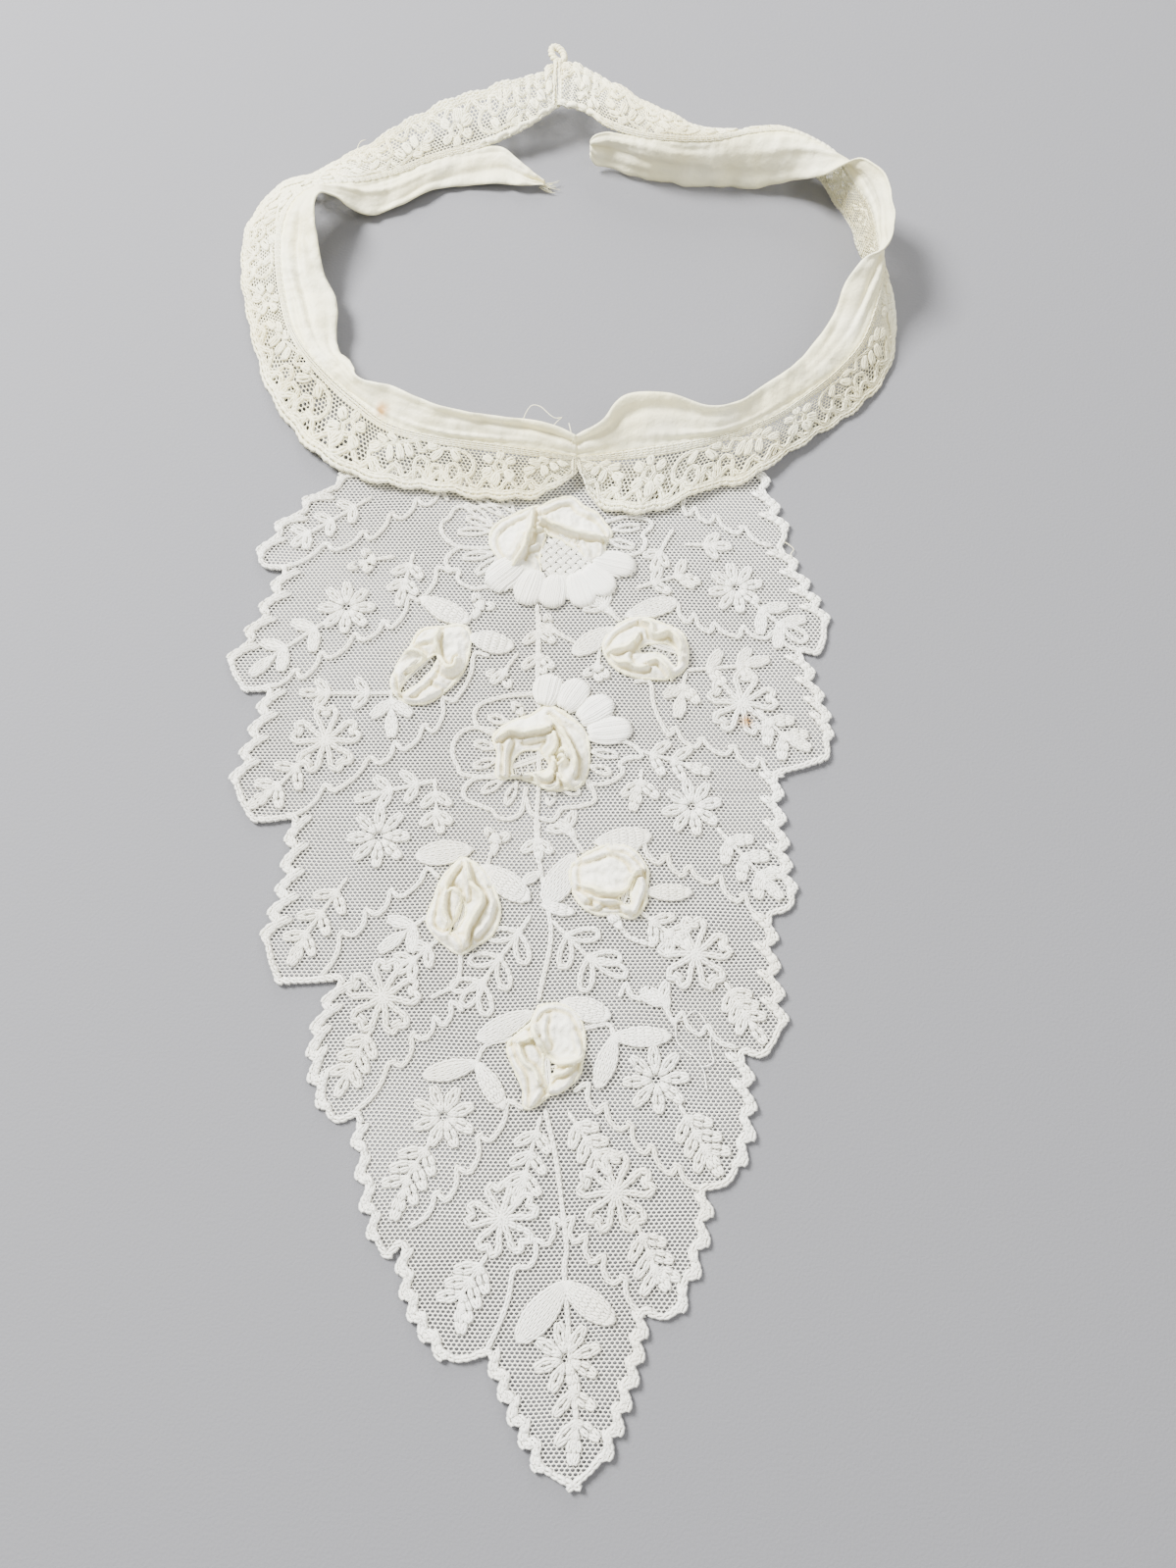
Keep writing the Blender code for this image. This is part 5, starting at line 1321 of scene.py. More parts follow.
def rose_top(rose, height, flat, share, closed):
    """How high the muslin stands over its plan, and how much painted shade it takes where it lies in a slit.
    """
    lift, shade = np.zeros(flat.shape[:2]), np.zeros(flat.shape[:2])
    for fold in rose.folds:
        rise, slit = fold_shape(flat.reshape(-1, 2), fold)
        lift += rise.reshape(lift.shape)
        shade = np.maximum(shade, slit.reshape(shade.shape))
    puff = np.sin(math.pi * share[None]) ** ROSE_PUFF
    ends = np.ones(ROSE_STATIONS)
    if not closed:
        from_end = np.minimum(np.arange(ROSE_STATIONS), np.arange(ROSE_STATIONS)[::-1])
        ends = np.sqrt(np.clip((from_end + 0.6) / ARCH_SLOPE, 0, 1))
    top = height * puff * BODY_SHARE + (lift * FOLD_SHARE + wrinkled(flat)) * np.clip(1.6 * puff, 0, 1)
    top = ends[:, None] * np.maximum(top, 0.15 * puff)
    return ROSE_FOOT + top + lie(flat[..., 0], flat[..., 1]), np.clip(shade, 0, 1)


def rose_shell(outer, inner, flat, top, closed):
    """Points and faces of the cloth, with both its edges turned in to feet on the net."""
    inward = one_long(outer - inner)
    floor = np.full(ROSE_STATIONS, ROSE_FLOOR)
    feet = np.column_stack((inner + ROSE_TUCK * inward, floor))
    toes = np.column_stack((outer - ROSE_TUCK * inward, floor))
    rings = np.concatenate((feet[:, None], np.dstack((flat, top)), toes[:, None]), axis=1)
    size = rings.shape[1]
    faces = []
    for i in range(ROSE_STATIONS - (0 if closed else 1)):
        a, b = i * size, (i + 1) % ROSE_STATIONS * size
        faces += [(a + j, a + (j + 1) % size, b + (j + 1) % size, b + j) for j in range(size)]
    if not closed:
        faces.append(tuple(reversed(range(size))))
        faces.append(tuple(range((ROSE_STATIONS - 1) * size, ROSE_STATIONS * size)))
    return rings.reshape(-1, 3), faces


def rose_rolls(rose, outer, inner, flat, top, closed):
    """The turned edges, and a roll along each fold that stands high."""
    inward = one_long(outer - inner)
    rolls = []
    hems = ((outer - OUTER_TURN * inward, OUTER_HEM), (inner + INNER_TURN * inward, INNER_HEM))
    for rim, radius in hems:
        rim = np.vstack((rim, rim[:1])) if closed else rim
        ripple = 0.25 * np.sin(np.linspace(0, 7 * math.pi, len(rim))) ** 2
        rolls.append(rolled(rim, radius, lie(*rim.T) + ROSE_FOOT + ripple))
    for fold in rose.folds:
        if fold.rise >= ROLLED_RISE:
            line = even_steps(smooth_line(fold.path, FOLD_STEP), 6 + 3 * len(fold.path))
            near = [np.argmin(np.sum((flat.reshape(-1, 2) - point) ** 2, axis=1)) for point in line]
            at = np.convolve(np.pad(top.ravel()[near], 1, mode="edge"), (0.25, 0.5, 0.25), mode="valid")
            rolls.append(rolled(line, ROLL * (0.5 + 0.42 * fold.rise), at - 0.03))
    return rolls


def make_rose(name, rose, height, finish):
    """One rose, with painted shadow marked in its slits and under its turned edges, and its doubled cloth
    marked for the finish.
    """
    closed = rose is not ROSES[0]
    outer, inner = rose_rims(rose, closed)
    share = np.linspace(0, 1, ROSE_SHARES)
    flat = inner[:, None] + (outer - inner)[:, None] * share[None, :, None]
    top, shade = rose_top(rose, height, flat, share, closed)
    shell, faces = rose_shell(outer, inner, flat, top, closed)
    rolls, roll_faces = tube_mesh(rose_rolls(rose, outer, inner, flat, top, closed), 7, len(shell))
    obj = make_object(name, np.concatenate((shell, rolls)), faces + roll_faces, finish)
    face_outwards(obj)
    # Painted shadow: full under the turned edges, where the feet and toes tuck under the cloth
    shade = np.pad(shade, ((0, 0), (1, 1)), constant_values=1.0).ravel()
    marks = {"shade": (shade, np.zeros(len(rolls))), "roll": (np.zeros(len(shade)), np.ones(len(rolls)))}
    for label, values in marks.items():
        mark = obj.data.attributes.new(label, "FLOAT", "POINT")
        mark.data.foreach_set("value", np.concatenate(values))
    obj.data.shade_smooth()
    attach(obj, "root")
    return obj


def face_outwards(obj):
    """Turns every face of a closed piece outwards."""
    mesh = bmesh.new()
    mesh.from_mesh(obj.data)
    bmesh.ops.recalc_face_normals(mesh, faces=mesh.faces)
    mesh.to_mesh(obj.data)
    mesh.free()


def attribute(finish, name):
    """A mark on the piece, from zero to one."""
    return add_node(finish.tree, "ShaderNodeAttribute", attribute_name=name)["Fac"]


muslin = new_finish("muslin", roughness=0.75, sheen=0.15)
thin_cloth = shaded(muslin, noise(muslin, per_metre=160), THIN_SHADES)
doubled_cloth = shaded(muslin, noise(muslin, per_metre=120), DOUBLED_SHADES)
with_rolls = mixed(muslin, attribute(muslin, "roll"), thin_cloth, doubled_cloth)
# The muslin's colour runs to the painted shadow colour where the shade mark is high: in the slits and under
# the turned edges.
colour_with(muslin, mixed(muslin, attribute(muslin, "shade"), with_rolls, PAINTED_SHADOW))
crumple = reckoned(muslin, "MULTIPLY", noise(muslin, per_metre=480, detail=3.0), 4)
weave = noise(muslin, per_metre=2600, detail=3.0)
roughen(muslin, reckoned(muslin, "ADD", crumple, weave), depth=0.00016, strength=0.8)

for index, (rose, height) in enumerate(zip(ROSES, ROSE_HEIGHTS), start=1):
    piece = make_rose(f"rose_cloth_{index}", rose, height, muslin)
    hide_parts(f"rose_{index}")


# The collar is two lengths of cream needle-run net lace, meeting at the front and at the back. They
# are shaped here on the same sections as the solids, and worked flat: u along the seam, v out from it.
Section = namedtuple("Section", "lace seam silk")
LEFT_STRIP = (
    Section((0.6, -3.4, 3.0), (0.8, 0.5, 4.4), (0.8, 4.9, 7.3)),
    Section((-9.5, -8.5, 2.0), (-9.5, 2.0, 5.0), (-9.5, 8.0, 9.0)),
    Section((-21.0, -9.0, 2.0), (-21.0, 3.5, 5.5), (-21.0, 9.5, 10.0)),
    Section((-35.5, -6.5, 2.0), (-34.0, 5.5, 5.5), (-32.5, 11.5, 10.0)),
    Section((-49.0, -4.5, 2.0), (-46.0, 9.5, 5.0), (-43.5, 16.0, 10.0)),
    Section((-62.5, 2.0, 2.1), (-54.5, 16.5, 4.5), (-51.0, 20.0, 9.0)),
    Section((-71.0, 11.5, 1.1), (-61.0, 22.5, 5.0), (-55.0, 24.0, 7.0)),
    Section((-78.0, 23.0, 0.6), (-67.0, 29.0, 6.0), (-59.5, 29.0, 5.0)),
    Section((-82.0, 35.0, 0.6), (-71.5, 36.5, 6.0), (-60.5, 36.0, 4.0)),
    Section((-85.0, 46.0, 0.6), (-74.0, 45.0, 6.0), (-61.5, 45.0, 4.0)),
    Section((-87.0, 56.0, 0.6), (-75.5, 54.0, 7.0), (-65.0, 53.0, 6.0)),
    Section((-87.5, 67.5, 0.6), (-76.0, 63.5, 8.0), (-66.5, 61.5, 9.0)),
    Section((-85.0, 77.0, 0.6), (-74.0, 71.5, 9.0), (-66.5, 67.5, 11.5)),
    Section((-79.0, 85.0, 0.8), (-69.5, 77.5, 8.5), (-64.5, 72.5, 10.5)),
    Section((-70.0, 88.6, 1.5), (-63.5, 80.5, 7.0), (-60.5, 75.5, 4.5)),
    Section((-61.5, 92.2, 3.0), (-56.0, 83.0, 5.0), (-54.0, 76.0, 1.0)),
    Section((-51.5, 98.5, 4.0), (-47.5, 86.5, 4.0), (-47.5, 78.0, 0.8)),
    Section((-41.5, 105.0, 5.0), (-38.0, 91.0, 4.0), (-38.5, 84.0, 1.0)),
    Section((-31.0, 109.5, 6.0), (-28.5, 94.0, 4.0), (-28.5, 86.0, 0.8)),
    Section((-20.5, 112.5, 7.0), (-19.5, 97.0, 5.0), (-18.8, 86.5, 0.8)),
    Section((-11.5, 114.5, 8.0), (-11.5, 100.5, 6.5), (-9.0, 90.0, 0.8)),
    Section((-5.0, 117.0, 9.0), (-5.0, 104.5, 8.0), (-5.0, 94.0, 0.8)),
)
RIGHT_STRIP = (
    Section((1.9, -4.0, 3.6), (0.3, 0.5, 4.0), (0.1, 4.7, 6.7)),
    Section((5.5, -10.0, 2.0), (8.5, 1.0, 5.0), (6.5, 7.0, 10.0)),
    Section((13.5, -13.0, 2.0), (17.0, 2.0, 5.5), (12.5, 13.5, 12.0)),
    Section((22.5, -11.5, 2.0), (25.5, 3.5, 5.5), (23.5, 14.0, 12.0)),
    Section((33.0, -6.5, 2.0), (34.0, 5.0, 6.0), (33.0, 11.0, 11.0)),
    Section((43.0, -4.0, 2.0), (42.0, 7.5, 6.0), (41.0, 13.0, 9.5)),
    Section((53.0, 3.2, 2.0), (50.5, 11.5, 6.0), (48.0, 18.0, 9.0)),
    Section((63.5, 10.8, 0.8), (59.0, 17.8, 6.0), (55.0, 24.5, 8.0)),
    Section((72.6, 17.8, 0.6), (67.0, 25.0, 6.0), (61.0, 30.5, 8.0)),
    Section((80.0, 27.5, 0.6), (73.0, 32.5, 7.0), (65.0, 38.0, 9.0)),
    Section((83.0, 41.0, 0.6), (76.5, 41.5, 9.5), (68.5, 45.5, 11.0)),
    Section((82.0, 53.5, 1.0), (78.0, 49.5, 12.0), (72.0, 49.5, 15.0)),
    Section((76.0, 62.5, 0.6), (78.0, 58.5, 11.0), (78.5, 55.0, 17.5)),
    Section((74.0, 72.0, 0.6), (77.0, 69.0, 10.5), (79.0, 67.0, 18.0)),
    Section((70.0, 80.0, 0.6), (73.0, 78.5, 10.5), (74.5, 77.5, 17.5)),
    Section((66.0, 88.0, 0.6), (67.2, 85.6, 12.5), (65.0, 80.5, 10.0)),
    Section((57.5, 95.0, 0.8), (57.0, 91.2, 13.0), (56.5, 84.5, 3.5)),
    Section((47.5, 96.6, 2.5), (47.0, 91.4, 12.5), (46.5, 86.0, 1.0)),
    Section((37.0, 97.6, 6.0), (36.5, 89.5, 12.0), (36.0, 86.2, 0.8)),
    Section((27.5, 99.6, 8.5), (27.0, 89.5, 12.0), (27.0, 87.8, 0.8)),
    Section((18.0, 104.0, 10.0), (17.0, 92.0, 11.0), (17.5, 89.6, 0.8)),
    Section((9.5, 110.0, 10.0), (8.5, 96.0, 10.5), (9.0, 90.5, 1.0)),
    Section((3.0, 114.5, 10.0), (3.0, 101.5, 9.5), (3.0, 95.0, 2.0)),
    Section((-4.3, 117.5, 9.5), (-4.2, 105.0, 8.5), (-4.0, 97.0, 2.0)),
)
SEAM_GAP = 0.3
SEAM_PULL = 0.38
LOWEST_MIDDLE = 0.7
SCALLOP_PITCH = 7.5
SCALLOP_RISE = 0.8
FULLNESS = 0.35
FULLNESS_PITCH = 14.0
BUNCH = 0.5
BUNCH_PITCH = 3.1
BUNCH_REACH = 14.0
LACE_DEPTH = 12.0
LACE_STATIONS = 420
LACE_CELLS = 16
LACE_PITCH = 1.0
LACE_ROW = 0.72
LACE_THREAD = 0.12
LACE_REPEAT = 38.0
LACE_LEAVES = (
    Leaf((4.6, 3.4), (2.4, 6.4), 1.9), Leaf((6.4, 4.0), (4.8, 7.4), 1.9), Leaf((8.4, 4.7), (7.6, 8.2), 1.9),
    Leaf((6.6, 3.2), (9.4, 2.4), 1.7), Leaf((8.8, 4.0), (12.0, 3.6), 1.8),
    Leaf((10.4, 5.4), (13.2, 6.6), 2.1), Leaf((19.7, 7.1), (20.9, 9.8), 2.3),
    Leaf((18.0, 6.7), (15.8, 8.4), 2.3), Leaf((17.7, 4.7), (15.4, 3.4), 2.1),
    Leaf((19.2, 4.0), (19.0, 1.7), 2.1), Leaf((20.9, 4.7), (23.2, 3.4), 2.1),
    Leaf((21.0, 6.4), (23.6, 7.8), 2.3), Leaf((33.2, 3.4), (35.6, 6.2), 1.9),
    Leaf((31.0, 3.0), (29.0, 5.6), 1.9), Leaf((34.4, 2.6), (36.8, 3.2), 1.7),
)
LACE_LINES = (
    ((2.0, 2.0), (5.0, 3.1), (8.0, 4.3), (11.0, 5.8), (12.8, 7.8), (11.6, 9.6)),
    ((36.2, 2.0), (33.2, 2.9), (30.2, 2.6), (27.2, 3.4), (25.6, 5.6), (26.4, 8.0), (28.2, 8.4)),
    ((17.9, 5.6), (18.6, 6.7), (19.9, 6.7), (20.5, 5.6), (19.9, 4.4), (18.6, 4.4), (17.9, 5.6)),
    ((36.2, 2.0), (38.2, 4.4), (40.0, 2.0)),
    ((-1.5, 9.4), (-1.5, 7.0), (0.0, 5.8), (1.5, 7.0), (1.5, 9.4)),
    ((28.6, 9.6), (28.8, 7.4), (30.2, 6.4), (31.6, 7.4), (31.6, 9.6)),
    ((32.8, 9.6), (33.0, 7.8), (34.2, 7.2), (35.4, 7.8), (35.4, 9.6)),
)
LACE_ROWS = ((0.2, 1.25), (0.85, 1.15), (1.4, 0.8), (10.9, 0.75), (11.55, 1.25))
ZIGZAG_PITCH = 5.4
ZIGZAG_LOW, ZIGZAG_HIGH = 8.5, 10.5
DARN_PITCH = 0.46
DARN_THREAD = 0.27
DARN_RISE = 0.2
DARN_STEPS = 6
DARN_FOOT, DARN_TIP = (-0.02, 0.1), (-0.02, 0.12)
DARN_SWAY, DARN_WAVER = 0.12, 0.08
DARN_LOWEST, DARN_UNEVEN = 0.1, (-0.03, 0.09)
RAW_EDGES = {"left": 27.0, "right": 18.0}
RAW_EDGE = 0.8
RAW_STEP, RAW_CLEAR, RAW_START = 0.6, 0.7, 6
RAW_LUMPS = 0.24
END_CLEAR = 1.0
HOLES_FROM, HOLES_TO = 0.3, 11.5
LACE_ENDS = (0.6, 0.45)
ZIGZAG_WIDTH, LACE_END_WIDTH, LACE_LINE_WIDTH = 1.0, 1.25, 0.9
LACE_STEP = 0.6
LACE_LIFT = 0.18
LACE_SHADES = ((0.88, 0.82, 0.54), (0.95, 0.92, 0.70))
Strip = namedtuple("Strip", "grid normals length")


def strip_rows(sections, part, ends=()):
    """One piece of the strip, a row each: seam point, free edge, and the seam's direction across."""
    rows = []
    for section in sections:
        lace, seam, silk = (np.array(place) for place in section)
        across = (silk - lace) / np.linalg.norm(silk - lace)
        free = lace if part == "lace" else silk
        rows.append(np.concatenate((seam, free, -across if part == "lace" else across)))
    for end in ends:
        seam, free = (np.array(place) for place in end)
        rows.append(np.concatenate((seam, free, (free - seam) / np.linalg.norm(free - seam))))
    return np.array(rows)


def strip_surface(rows, stations, cells, edge_shape):
    """The cloth's middle surface, its upward normals, and the length of its seam."""
    fine = smooth_line(rows, 0.5)
    along, length = even_steps(fine, stations), line_length(fine[:, :3])
    lengths = np.linspace(0, length, stations)[:, None, None]
    seam, free, across = along[:, None, 0:3], along[:, None, 3:6], along[:, None, 6:9]
    width = np.linalg.norm(free - seam, axis=2, keepdims=True)
    control = seam + SEAM_PULL * width * across / np.linalg.norm(across, axis=2, keepdims=True)
    start = SEAM_GAP / (4 * SEAM_PULL * width)
    share = start + (1 - start) * np.linspace(0, 1, cells + 1)[None, :, None]
    grid = (1 - share) ** 2 * seam + 2 * share * (1 - share) * control + share**2 * free
    grid = grid + edge_shape(lengths, share, (free - seam) / width, upward(grid))
    grid[..., 2] = np.maximum(grid[..., 2], LOWEST_MIDDLE)
    return Strip(grid, upward(grid), length)


def upward(grid):
    """The way out of a surface at each of its points, on the side that mostly faces up."""
    normals = np.cross(np.gradient(grid, axis=0), np.gradient(grid, axis=1))
    normals = one_long(normals)
    return normals * np.sign(normals[..., 2].mean())


def scallops(length, share, outward, up):
    """The lace's free edge: rounded scallops, a little fullness, and puckers near the loop."""
    wave = np.abs(np.sin(math.pi * length / SCALLOP_PITCH))
    fullness = FULLNESS * share * (1 + np.sin(2 * math.pi * length / FULLNESS_PITCH))
    near_loop = bell(length, length.max(), BUNCH_REACH)
    puckers = BUNCH * near_loop * np.sin(2 * math.pi * (length / BUNCH_PITCH + 0.5 * share))
    return outward * SCALLOP_RISE * wave * share**4 + fullness * np.array((0.0, 0.0, 1.0)) + puckers * up


def on_strip(strip):
    """A change that lays flat work, u and v with its height, onto the strip."""
    last_row, last_column = strip.grid.shape[0] - 1, strip.grid.shape[1] - 1

    def change(points):
        u, v, height = points.T
        i, j = u / strip.length * last_row, v / LACE_DEPTH * last_column
        a = np.clip(np.floor(i).astype(int), 0, last_row - 1)
        b = np.clip(np.floor(j).astype(int), 0, last_column - 1)
        p, q = (i - a)[:, None], (j - b)[:, None]

        def between(values):
            low = values[a, b] * (1 - p) + values[a + 1, b] * p
            high = values[a, b + 1] * (1 - p) + values[a + 1, b + 1] * p
            return low * (1 - q) + high * q

        return between(strip.grid) + between(strip.normals) * height[:, None]

    return change


def lace_leaves(repeats, length):
    """The leaves of every repeat of the pattern that lie clear of the strip's ends."""
    leaves = []
    for start in repeats:
        for leaf in LACE_LEAVES:
            (x, y), (tip_x, tip_y) = leaf.base, leaf.tip
            x, tip_x = x + start, tip_x + start
            if END_CLEAR < min(x, tip_x) and max(x, tip_x) < length - END_CLEAR:
                leaves.append(Leaf((x, y), (tip_x, tip_y), leaf.width))
    return leaves


def darned_leaf(leaf, chance):
    """The uneven soft threads that fill one small leaf of the lace."""
    threads = []
    count = max(3, round(leaf.width / DARN_PITCH))
    for k in range(count):
        off = (k + 0.5) / count * 2 - 1
        share = np.linspace(chance.uniform(*DARN_FOOT), 1 - chance.uniform(*DARN_TIP), DARN_STEPS)
        middle, across, half = leaf_lines(leaf, np.clip(share, 0, 1))
        sway = half * off + chance.uniform(-DARN_SWAY, DARN_SWAY) + DARN_WAVER * np.sin(6 * share + 9 * off)
        uneven = np.array([chance.uniform(*DARN_UNEVEN) for _ in share])
        height = DARN_LOWEST + DARN_RISE * math.sqrt(1 - off**2) + uneven
        threads.append((np.column_stack((middle + across * sway[:, None], height)), DARN_THREAD))
    return threads


def rolled_raw_edge(length, reach):
    """The lace's raw edge, rolled over in lumps where no silk covers it, up to the loop."""
    along = np.arange(length - reach, length - RAW_CLEAR, RAW_STEP)
    lumps = 1 + RAW_LUMPS * np.sin(2.1 * along + 2 * np.sin(0.7 * along))
    started = np.clip((along - along[0]) / RAW_START, 0.35, 1)
    line = np.column_stack((along, 0.5 + 0.35 * np.sin(1.1 * along), 0.35 + 0.15 * np.sin(2.9 * along)))
    return line, RAW_EDGE * lumps * started


def under_leaves(middles, leaves):
    """True where a hole of the net would lie well under a leaf."""
    found = np.zeros(len(middles), bool)
    for leaf in leaves:
        base, run = leaf_frame(leaf)[:2]
        found |= distance(middles, [base + 0.25 * run, base + 0.75 * run]) < 0.3 * leaf.width
    return found


def lace_holes(length, leaves):
    """Middles of the holes of the lace's net, apart from those under its leaves."""
    middles = staggered((0, 0), (length, LACE_DEPTH), LACE_PITCH, LACE_ROW)
    on_lace = (middles > HOLES_FROM) & (middles < (length - HOLES_FROM, HOLES_TO))
    middles = middles[on_lace.all(axis=1)]
    return middles[~under_leaves(middles, leaves)]


def lace_cords(length, repeats):
    """The sewn rows of the lace: along it, in zigzag by its edge, across its ends, and its pattern."""
    along = np.arange(0.4, length, 0.8)
    rows = [(np.column_stack((along, np.full(len(along), v))), width) for v, width in LACE_ROWS]
    peaks = enumerate(np.arange(0.8, length - 0.5, ZIGZAG_PITCH / 2))
    zigzag = [(u, ZIGZAG_HIGH if k % 2 else ZIGZAG_LOW) for k, u in peaks]
    rows.append((smooth_line(zigzag, LACE_STEP), ZIGZAG_WIDTH))
    for end in (LACE_ENDS[0], length - LACE_ENDS[1]):
        rows.append((smooth_line([(end, 0.6), (end, 6.0), (end, HOLES_TO)]), LACE_END_WIDTH))
    for start in repeats:
        for line in LACE_LINES:
            line = np.array(line) + (start, 0)
            if line[:, 0].min() > 0.5 and line[:, 0].max() < length - 0.5:
                rows.append((smooth_line(line, LACE_STEP), LACE_LINE_WIDTH))
    return rows


lace_cotton = new_finish("lace_cotton", roughness=0.88, sheen=0.12)
colour_with(lace_cotton, shaded(lace_cotton, noise(lace_cotton, per_metre=60), LACE_SHADES))
roughen(lace_cotton, noise(lace_cotton, per_metre=2600, detail=3.0), depth=0.00016, strength=0.8)

for side, sections, seed in (("left", LEFT_STRIP, 21), ("right", RIGHT_STRIP, 22)):
    strip = strip_surface(strip_rows(sections, "lace"), LACE_STATIONS, LACE_CELLS, scallops)
    lay = on_strip(strip)
    repeats = [k * LACE_REPEAT for k in range(int(strip.length / LACE_REPEAT) + 1)]
    leaves = lace_leaves(repeats, strip.length)
    holes = lace_holes(strip.length, leaves)
    net = make_net(f"collar_net_{side}", holes, LACE_PITCH, LACE_ROW, LACE_THREAD, lace_cotton, lay)
    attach(net, "root")
    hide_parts(f"collar_lace_{side}")
    cords = lace_cords(strip.length, repeats)
    work = sewn(f"collar_cord_{side}", cords, lace_cotton, seed, change=lay, lift=LACE_LIFT)
    chance = random.Random(seed)
    threads = [thread for leaf in leaves for thread in darned_leaf(leaf, chance)]
    threads.append(rolled_raw_edge(strip.length, RAW_EDGES[side]))
    darned = tubes(f"collar_leaves_{side}", threads, lace_cotton, sides=6)
    reshape(darned, lay)


# The neckband is two lengths of plain soft silk, sewn to the lace and hemmed along the other edge.
# They lie in soft creases, and both ends run on past the lace; the left one is frayed.
SILK_ROWS_LEFT = 19
SILK_ROWS_RIGHT = 21
SilkEnd = namedtuple("SilkEnd", "seam silk")
LEFT_TAIL = (
    SilkEnd((-20.4, 95.0, 4.8), (-19.0, 86.2, 0.8)),
    SilkEnd((-14.5, 91.0, 3.6), (-14.5, 85.2, 0.8)),
    SilkEnd((-8.0, 86.4, 1.4), (-8.2, 84.6, 0.8)),
)
RIGHT_TAIL = (
    SilkEnd((9.2, 94.4, 10.2), (9.4, 91.6, 1.0)),
    SilkEnd((5.6, 94.4, 9.2), (5.8, 92.2, 1.8)),
    SilkEnd((4.2, 94.0, 7.8), (4.2, 93.0, 4.4)),
)
Crease = namedtuple("Crease", "pitch slant rise phase")
CREASES = (
    Crease(31.0, 0.2, 0.42, 0.0), Crease(17.0, -0.5, 0.3, 1.7), Crease(9.0, 0.8, 0.2, 3.4),
    Crease(5.3, -0.9, 0.1, 0.6),
)
LongFold = namedtuple("LongFold", "middle wander pitch width rise phase")
LONG_FOLDS = (
    LongFold(0.6, 0.14, 21.0, 0.1, -1.05, 0.4), LongFold(0.34, 0.12, 13.0, 0.075, 0.75, 2.2),
    LongFold(0.8, 0.06, 9.0, 0.06, -0.4, 4.0), LongFold(0.16, 0.05, 7.0, 0.06, -0.4, 1.1),
)
SILK_STATIONS = 330
SILK_CELLS = 20
SILK_WALL = 0.35
HEM_PLACE, HEM_HALF, SILK_HEM = 0.92, 0.05, 0.22
WRINKLE = 0.05
SEAM_GATHER = 0.16
GATHER_WAVE = Wave(0.55, 2.6, 3.9)
EDGE_SWAY, SWAY_WAVE = 0.45, Wave(5.3, 1.2, 11)
FOLD_FADE = 0.45
END_PUCKER, PUCKER_TURNS, PUCKER_PITCH = 0.4, 2.2, 9
END_REACH = 7.0
RUST_PLACE = (-47.6, 12.7, 6.3)
RUST_REACH = 2.7
FRAYED_END = (-8.1, 85.5, 1.0)
FRAYS = 16
FRAY_SEED = 31
FRAY_THREAD = 0.07
FRAY_START = ((-1.5, 0.4), (-0.7, 0.7), (-0.3, 0.3))
FRAY_REACH = ((1.5, 4.5), (-1.6, 0.9), (-0.5, 0.3))
FRAY_BEND = ((-0.8, 0.8), (-0.2, 0.5))
FRAY_LOWEST = 0.15
PLAIN_SHADES = ((0.87, 0.81, 0.52), (0.93, 0.89, 0.65))
SEAM_SHADES = ((0.91, 0.85, 0.52), (0.95, 0.92, 0.66))
BLACK_TO_WHITE = ((0, 0, 0), (1, 1, 1))
CLOTH_MAP = "cloth"


def creases(length, share, outward, up):
    """Soft creases from the silk's seam to its hem, long folds and wrinkles, and the hem's roll."""
    lift = 0 * length * share
    for crease in CREASES:
        turn = 2 * math.pi * (length / crease.pitch + crease.slant * share) + crease.phase
        lift = lift + crease.rise * (1 + np.sin(turn)) * share**0.8
    for fold in LONG_FOLDS:
        middle = fold.middle + fold.wander * np.sin(length / fold.pitch + fold.phase)
        strength = 1 - FOLD_FADE + FOLD_FADE * np.sin(length / (0.7 * fold.pitch) + 2 * fold.phase)
        lift = lift + fold.rise * strength * bell(share, middle, fold.width)
    across = np.sin(math.pi * share)
    lift = lift + WRINKLE * np.sin(length / 0.9 + 5 * share + 2 * np.sin(length / 4.3)) * across
    gather = wavy(length, length, GATHER_WAVE) * np.sin(math.pi * share**0.5)
    lift = lift + SEAM_GATHER * gather * (1 - share) ** 2
    turn = 2 * math.pi * (PUCKER_TURNS * share + length / PUCKER_PITCH)
    pucker = bell(length, length.max(), END_REACH) * np.sin(turn)
    lift = lift + END_PUCKER * pucker * across + SILK_HEM * bell(share, HEM_PLACE, HEM_HALF)
    sway = EDGE_SWAY * wavy(length, length, SWAY_WAVE) * share**2
    return lift * up + sway * outward


def wall_faces(rows, columns):
    """Faces of a grid's two sides, and round its rim."""
    back = rows * columns
    faces = []
    for i in range(rows - 1):
        for a in range(i * columns, (i + 1) * columns - 1):
            around = (a, a + columns, a + columns + 1, a + 1)
            faces += [around, tuple(back + corner for corner in reversed(around))]
    rim = [i * columns for i in range(rows)] + [(rows - 1) * columns + j for j in range(1, columns)]
    rim += [i * columns + columns - 1 for i in range(rows - 2, -1, -1)] + list(range(columns - 2, 0, -1))
    return faces + [(b, a, back + a, back + b) for a, b in zip(rim, rim[1:] + rim[:1])]


def thin_wall(name, strip, thickness, finish):
    """A closed wall of even thickness about a strip's surface, with the cloth's own map."""
    rows, columns = strip.grid.shape[:2]
    half_wall = strip.normals * thickness / 2
    points = np.stack((strip.grid + half_wall, strip.grid - half_wall)).reshape(-1, 3)
    obj = make_object(name, points, wall_faces(rows, columns), finish)
    face_outwards(obj)
    places = np.meshgrid(np.linspace(0, strip.length, rows), np.linspace(0, 1, columns), indexing="ij")
    cloth = np.tile(np.stack(places, axis=2).reshape(-1, 2), (2, 1))
    corners = np.empty(len(obj.data.loops), int)
    obj.data.loops.foreach_get("vertex_index", corners)
    obj.data.uv_layers.new(name=CLOTH_MAP).data.foreach_set("uv", cloth[corners].ravel())
    obj.data.shade_smooth()
    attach(obj, "root")
    return obj


